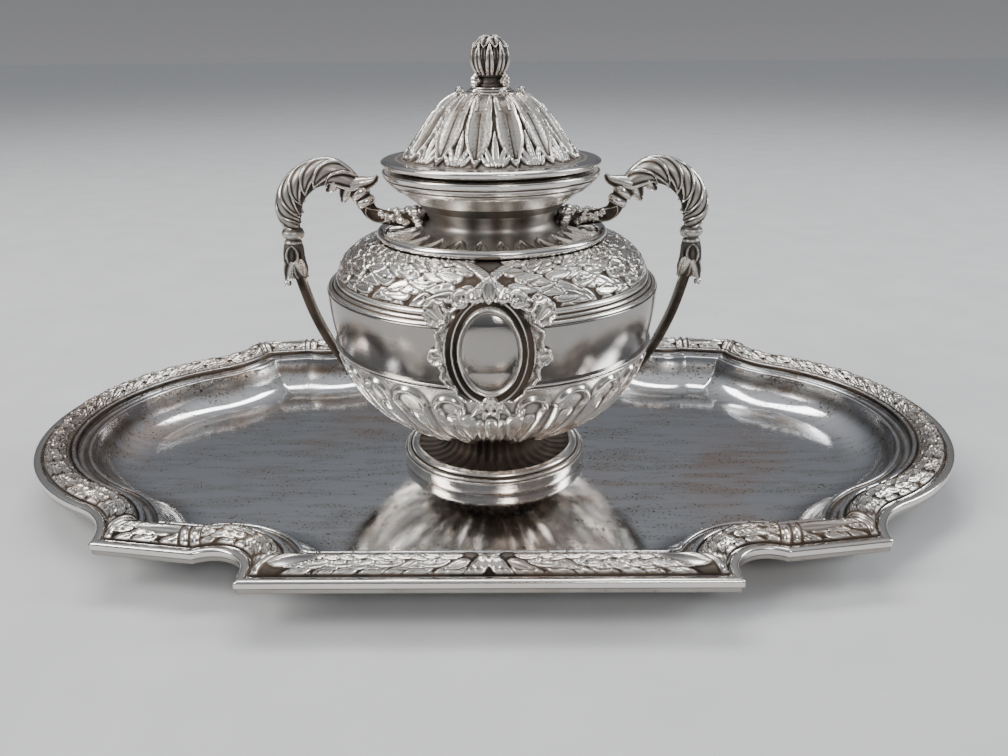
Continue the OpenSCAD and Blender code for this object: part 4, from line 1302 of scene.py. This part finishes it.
def tube_grid(line, steps, sides, across):
    """Grid round a middle line of (radius, height, half width) in the plane of the handles."""
    v = spline(line, steps)
    way = np.gradient(v[:, :2], axis=0)
    way /= np.linalg.norm(way, axis=1, keepdims=True)
    side = np.stack([-way[:, 1], way[:, 0]], 1)
    k = turns(sides)
    r = v[:, 2:]
    up = r * np.cos(k)
    y = -r * across * np.sin(k) + 0 * up
    points = np.stack([v[:, :1] + up * side[:, :1], y, v[:, 1:2] + up * side[:, 1:]], -1)
    return points, lengths(v[:, :2]), k, r


def drawn_in(row):
    middle = row.mean(1, keepdims=True)
    return middle + (row - middle) * 0.02


def tube(line, steps, sides, drawing, across=1.0, top=0.6, ground=0.8):
    """Closed tube with a relief; drawing(s, k, r) gives heights at length s and angle k round it."""
    grid, s, k, r = tube_grid(line, steps, sides, across)
    around = np.where(k > PI, k - 2 * PI, k)
    h = drawing(s[:, None], around[None, :], r)
    grid = pushed(grid, h - 0.35 * top)
    dirt = grime(h, 1.6 * top, (3, 3), ground)
    grid = np.vstack([drawn_in(grid[:1]), grid, drawn_in(grid[-1:])])
    return Patch(grid, np.vstack([dirt[:1], dirt, dirt[-1:]]))


def acanthus(s, k, r):
    """Deep lobes that sweep back from a smooth spine on each side, and beads on the thin stem."""
    h = 0.15 + np.zeros(np.broadcast(s, k).shape)
    q = np.abs(k) * r
    first, last, pitch = 20.5, s.max() - 3, 3.7
    for i in range(int((last - first) / pitch), -1, -1):
        p, c = rotated(s - (first + pitch * i), q - 0.4, 38)
        h = over(h, leaf(p, c - 0.6, 11, 4.4, 1.3, point=0.5, vein=0, rim=0.62))
    spine = 0.9 * arch(q, 1.1) * smooth(s, first - 1, first + 2)
    h = np.maximum(h, spine - 0.25 * ridge(q, 0, 0.3))
    # Hollow oval leaf, then two beads, on the stem between root and leaves
    m = leaf(s - 9.2, (np.abs(k) - PI / 2) * r, 6.2, 3.6, 0.9, point=0.9, vein=0, rim=0.85)
    h = np.where(s < 15.6, over(h, m), h)
    for at in (16.4, 18.8):
        h = np.maximum(h, 0.8 * arch(s - at, 1.1))
    under = smooth(q, 0.86 * PI * r, 0.96 * PI * r)
    return h * (1 - under) + 0.2 * under


def husk_leaves(s, k, r):
    """A beaded collar, a hollow oval leaf on each face, and pointed leaves that end at the rod."""
    h = np.maximum(0.5 * arch(s - 1.5, 1.2), 0.3) + 0.2 * ridge(s, 3.4, 0.3) + 0 * k
    # Start, length, width, how many stand round, and turn in pitches
    for start, size, width, count, shift in ((4.0, 5.4, 3.6, 2, 0.5), (7.2, 6.6, 2.6, 4, 0.25)):
        q = nearest(k, count, shift * (2 * PI / count)) * r
        motif = leaf(s - start, q, size, width, 0.8, point=0.85, flat=0.8, vein=0.0, rim=0.85)
        h = np.maximum(h, motif)
    return h


def ribbed(height, ribs):
    """A drawing for a tube: plain ribs along it."""
    return lambda s, k, r: height * np.abs(np.cos(ribs * k)) + 0 * s


def bowl_side(t, out):
    """Point at share t of the way up the bowl's side, at the distance out from it."""
    line = bowl_line(100)
    i = int(t * 100)
    way = line[i + 1] - line[i - 1]
    way = way / np.linalg.norm(way)
    return line[i] + out * np.array([way[1], -way[0]])


def rod_line():
    upper = [(p[0], p[1], ROD_R) for p in at_handle([(u, v, 1) for u, v in ROD])]
    return upper + [(*bowl_side(t, out * ROD_R), ROD_R * 0.95) for t, out in ROD_ON_BOWL]


def root_cluster():
    """Pebbly bunch where the scroll springs from the neck and lies over the wire."""
    patches = []
    dice = np.random.default_rng(5)
    count = 44
    for i in range(count):
        along = i / (count - 1)
        x = 16.2 + 10.5 * along + dice.uniform(-0.3, 0.3)
        y = dice.uniform(-1, 1) * (3.4 - 1.9 * along)
        size = dice.uniform(0.95, 1.4) * (1 - 0.25 * along)
        z = ROOT[1] + 0.6 + dice.uniform(-1.5, 1.6) * (1 - 0.45 * along)
        patches.append(bulb((x, y, z), (size * 1.15, size, size * 0.95), dice.uniform(0, 3), 5, 0.18))
    return patches


def handles():
    tip = ribbed(0.25, 1.5)
    scroll = [tube(at_handle(SCROLL), 26, 84, acanthus, ground=1.7)]
    scroll += [tube(at_handle(TIP), 10, 28, tip, 1.25, 0.3)]
    scroll += root_cluster()
    scroll += [tube(at_handle(line), 8, 24, tip, 1.4, 0.3) for line in BEND_TIPS]
    arm = [tube(at_handle(HUSK), 16, 56, husk_leaves, ground=1.4)]
    arm += [tube(at_handle(line), 8, 24, tip, 1.3, 0.3) for line in HUSK_TIPS]
    bead = at_handle([(1.065, -1.43, 1)])[0]
    arm.append(bulb((bead[0], 0, bead[1]), (0.95, 0.9, 0.95), dirt=0.1))
    sides = 24
    rod = tube(rod_line(), 14, sides, ribbed(0.12, 2), 0.9, 0.2).points
    # Dark flat faces, and a painted highlight: a clean stripe along the side of the rod that faces the
    # bowl
    painted_highlight_stripe = ridge(np.abs(nearest(turns(sides) - PI)), 0, 0.8)
    arm.append(Patch(rod, 0.97 - 0.97 * painted_highlight_stripe + 0 * rod[:, :, 0]))
    for side, build in (("right", list), ("left", mirrored)):
        make("scroll_" + side, build(scroll), chased, "vase", "chased_silver", "handle_scroll_" + side)
        make("husk_" + side, build(arm), chased, "vase", "chased_silver", "handle_arm_" + side)


# ---------- The rest of the CAD's pieces ----------

def hidden_fixings():
    """Stud and nut inside the lid keep their CAD shapes."""
    for name in ("finial_stud", "finial_nut"):
        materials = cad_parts[name].data.materials
        materials.clear()
        materials.append(old)


# ---------- Stage ----------

def camera():
    """Stands where the photograph was taken from: the fitted place, with its angles in degrees."""
    focal_px, picture_w, sensor = 868.4, 1008, 36
    place_mm = (3.85, -208.9, 104.4)
    yaw, pitch, roll = (math.radians(a) for a in (0.32, 21.45, -0.4))
    data = bpy.data.cameras.new("camera")
    data.sensor_width = sensor
    data.lens = focal_px / picture_w * sensor
    data.clip_start = 0.01
    back = Vector((math.sin(yaw) * math.cos(pitch), -math.cos(yaw) * math.cos(pitch), math.sin(pitch)))
    right = Vector((0, 0, 1)).cross(back).normalized()
    up = back.cross(right)
    across = right * math.cos(roll) + up * math.sin(roll)
    upright = up * math.cos(roll) - right * math.sin(roll)
    eye = added("camera", data)
    facing = Matrix((across, upright, back)).transposed().to_4x4()
    eye.matrix_world = Matrix.Translation([c * MM for c in place_mm]) @ facing
    bpy.context.scene.camera = eye


def floor():
    mesh = bpy.data.meshes.new("floor")
    size = 4.0
    corners = [(-size, -size, 0), (size, -size, 0), (size, size, 0), (-size, size, 0)]
    mesh.from_pydata(corners, [], [(0, 1, 2, 3)])
    material, tree, bsdf = shader("pale_floor", Roughness=0.75)
    grain = spread(tree, noise(tree, 40, 4), 0.3, 0.7)
    link(tree, mixed(tree, grain, (0.52, 0.525, 0.53), (0.56, 0.565, 0.57)), bsdf.inputs["Base Color"])
    mesh.materials.append(material)
    added("floor", mesh)


def room():
    """Dim room with a pale ceiling, so that the silver has something to mirror."""
    # Height from straight down at 0 to straight up at 1, and the colour there
    stops = (
        (0.0, (0.10, 0.10, 0.105)), (0.49, (0.285, 0.285, 0.295)), (0.60, (0.13, 0.135, 0.15)),
        (0.72, (0.25, 0.26, 0.28)), (1.0, (0.75, 0.77, 0.80))
    )
    world = bpy.data.worlds.new("room")
    bpy.context.scene.world = world
    world.use_nodes = True
    tree = world.node_tree
    background = tree.nodes["Background"]
    where = node(tree, "TexCoord")
    split = node(tree, "SeparateXYZ")
    link(tree, where.outputs["Generated"], split.inputs[0])
    ramp = node(tree, "ValToRGB")
    elements = ramp.color_ramp.elements
    elements[0].position = stops[0][0]
    elements[1].position = stops[-1][0]
    for position, _ in stops[1:-1]:
        elements.new(position)
    for element, (_, colour) in zip(elements, stops):
        element.color = (*colour, 1)
    height = maths(tree, "MULTIPLY_ADD", split.outputs["Z"], 0.5)
    height.node.inputs[2].default_value = 0.5
    link(tree, height, ramp.inputs[0])
    link(tree, ramp.outputs[0], background.inputs["Color"])
    background.inputs["Strength"].default_value = 0.9


# Name, place, height aimed at over the middle, width and height (all in metres), watts, colour
LAMPS = (
    ("window_left", (-0.70, -0.25, 0.62), 0.04, (0.30, 0.60), 7.5, (1, 0.98, 0.95)),
    ("window_right", (0.80, 0.10, 0.50), 0.04, (0.22, 0.50), 4.5, (0.95, 0.98, 1)),
    ("window_back", (-0.1, 0.42, 0.95), 0.03, (0.80, 0.22), 6, (1, 1, 1)),
    ("front_strip", (0.25, -0.80, 0.60), 0.05, (0.20, 0.20), 2.4, (1, 0.97, 0.93))
)


def lamps():
    for name, place_m, aim, size, power, colour in LAMPS:
        data = bpy.data.lights.new(name, "AREA")
        data.shape = "RECTANGLE"
        data.size, data.size_y = size
        data.energy = power
        data.color = colour
        lamp = added(name, data)
        lamp.location = place_m
        ahead = Vector((0, 0, aim)) - Vector(place_m)
        lamp.rotation_euler = ahead.to_track_quat("-Z", "Y").to_euler()


# ---------- The inkstand ----------

tray_border(Outline(0.28))
edge_band(Outline(0.5))
tray_dish(Outline(0.8))
foot()
bowl()
belt()
shoulder()
neck()
rim()
cartouches()
handles()
ink_glass()
lid()
crown()
collar()
bud()
hidden_fixings()
camera()
floor()
room()
lamps()
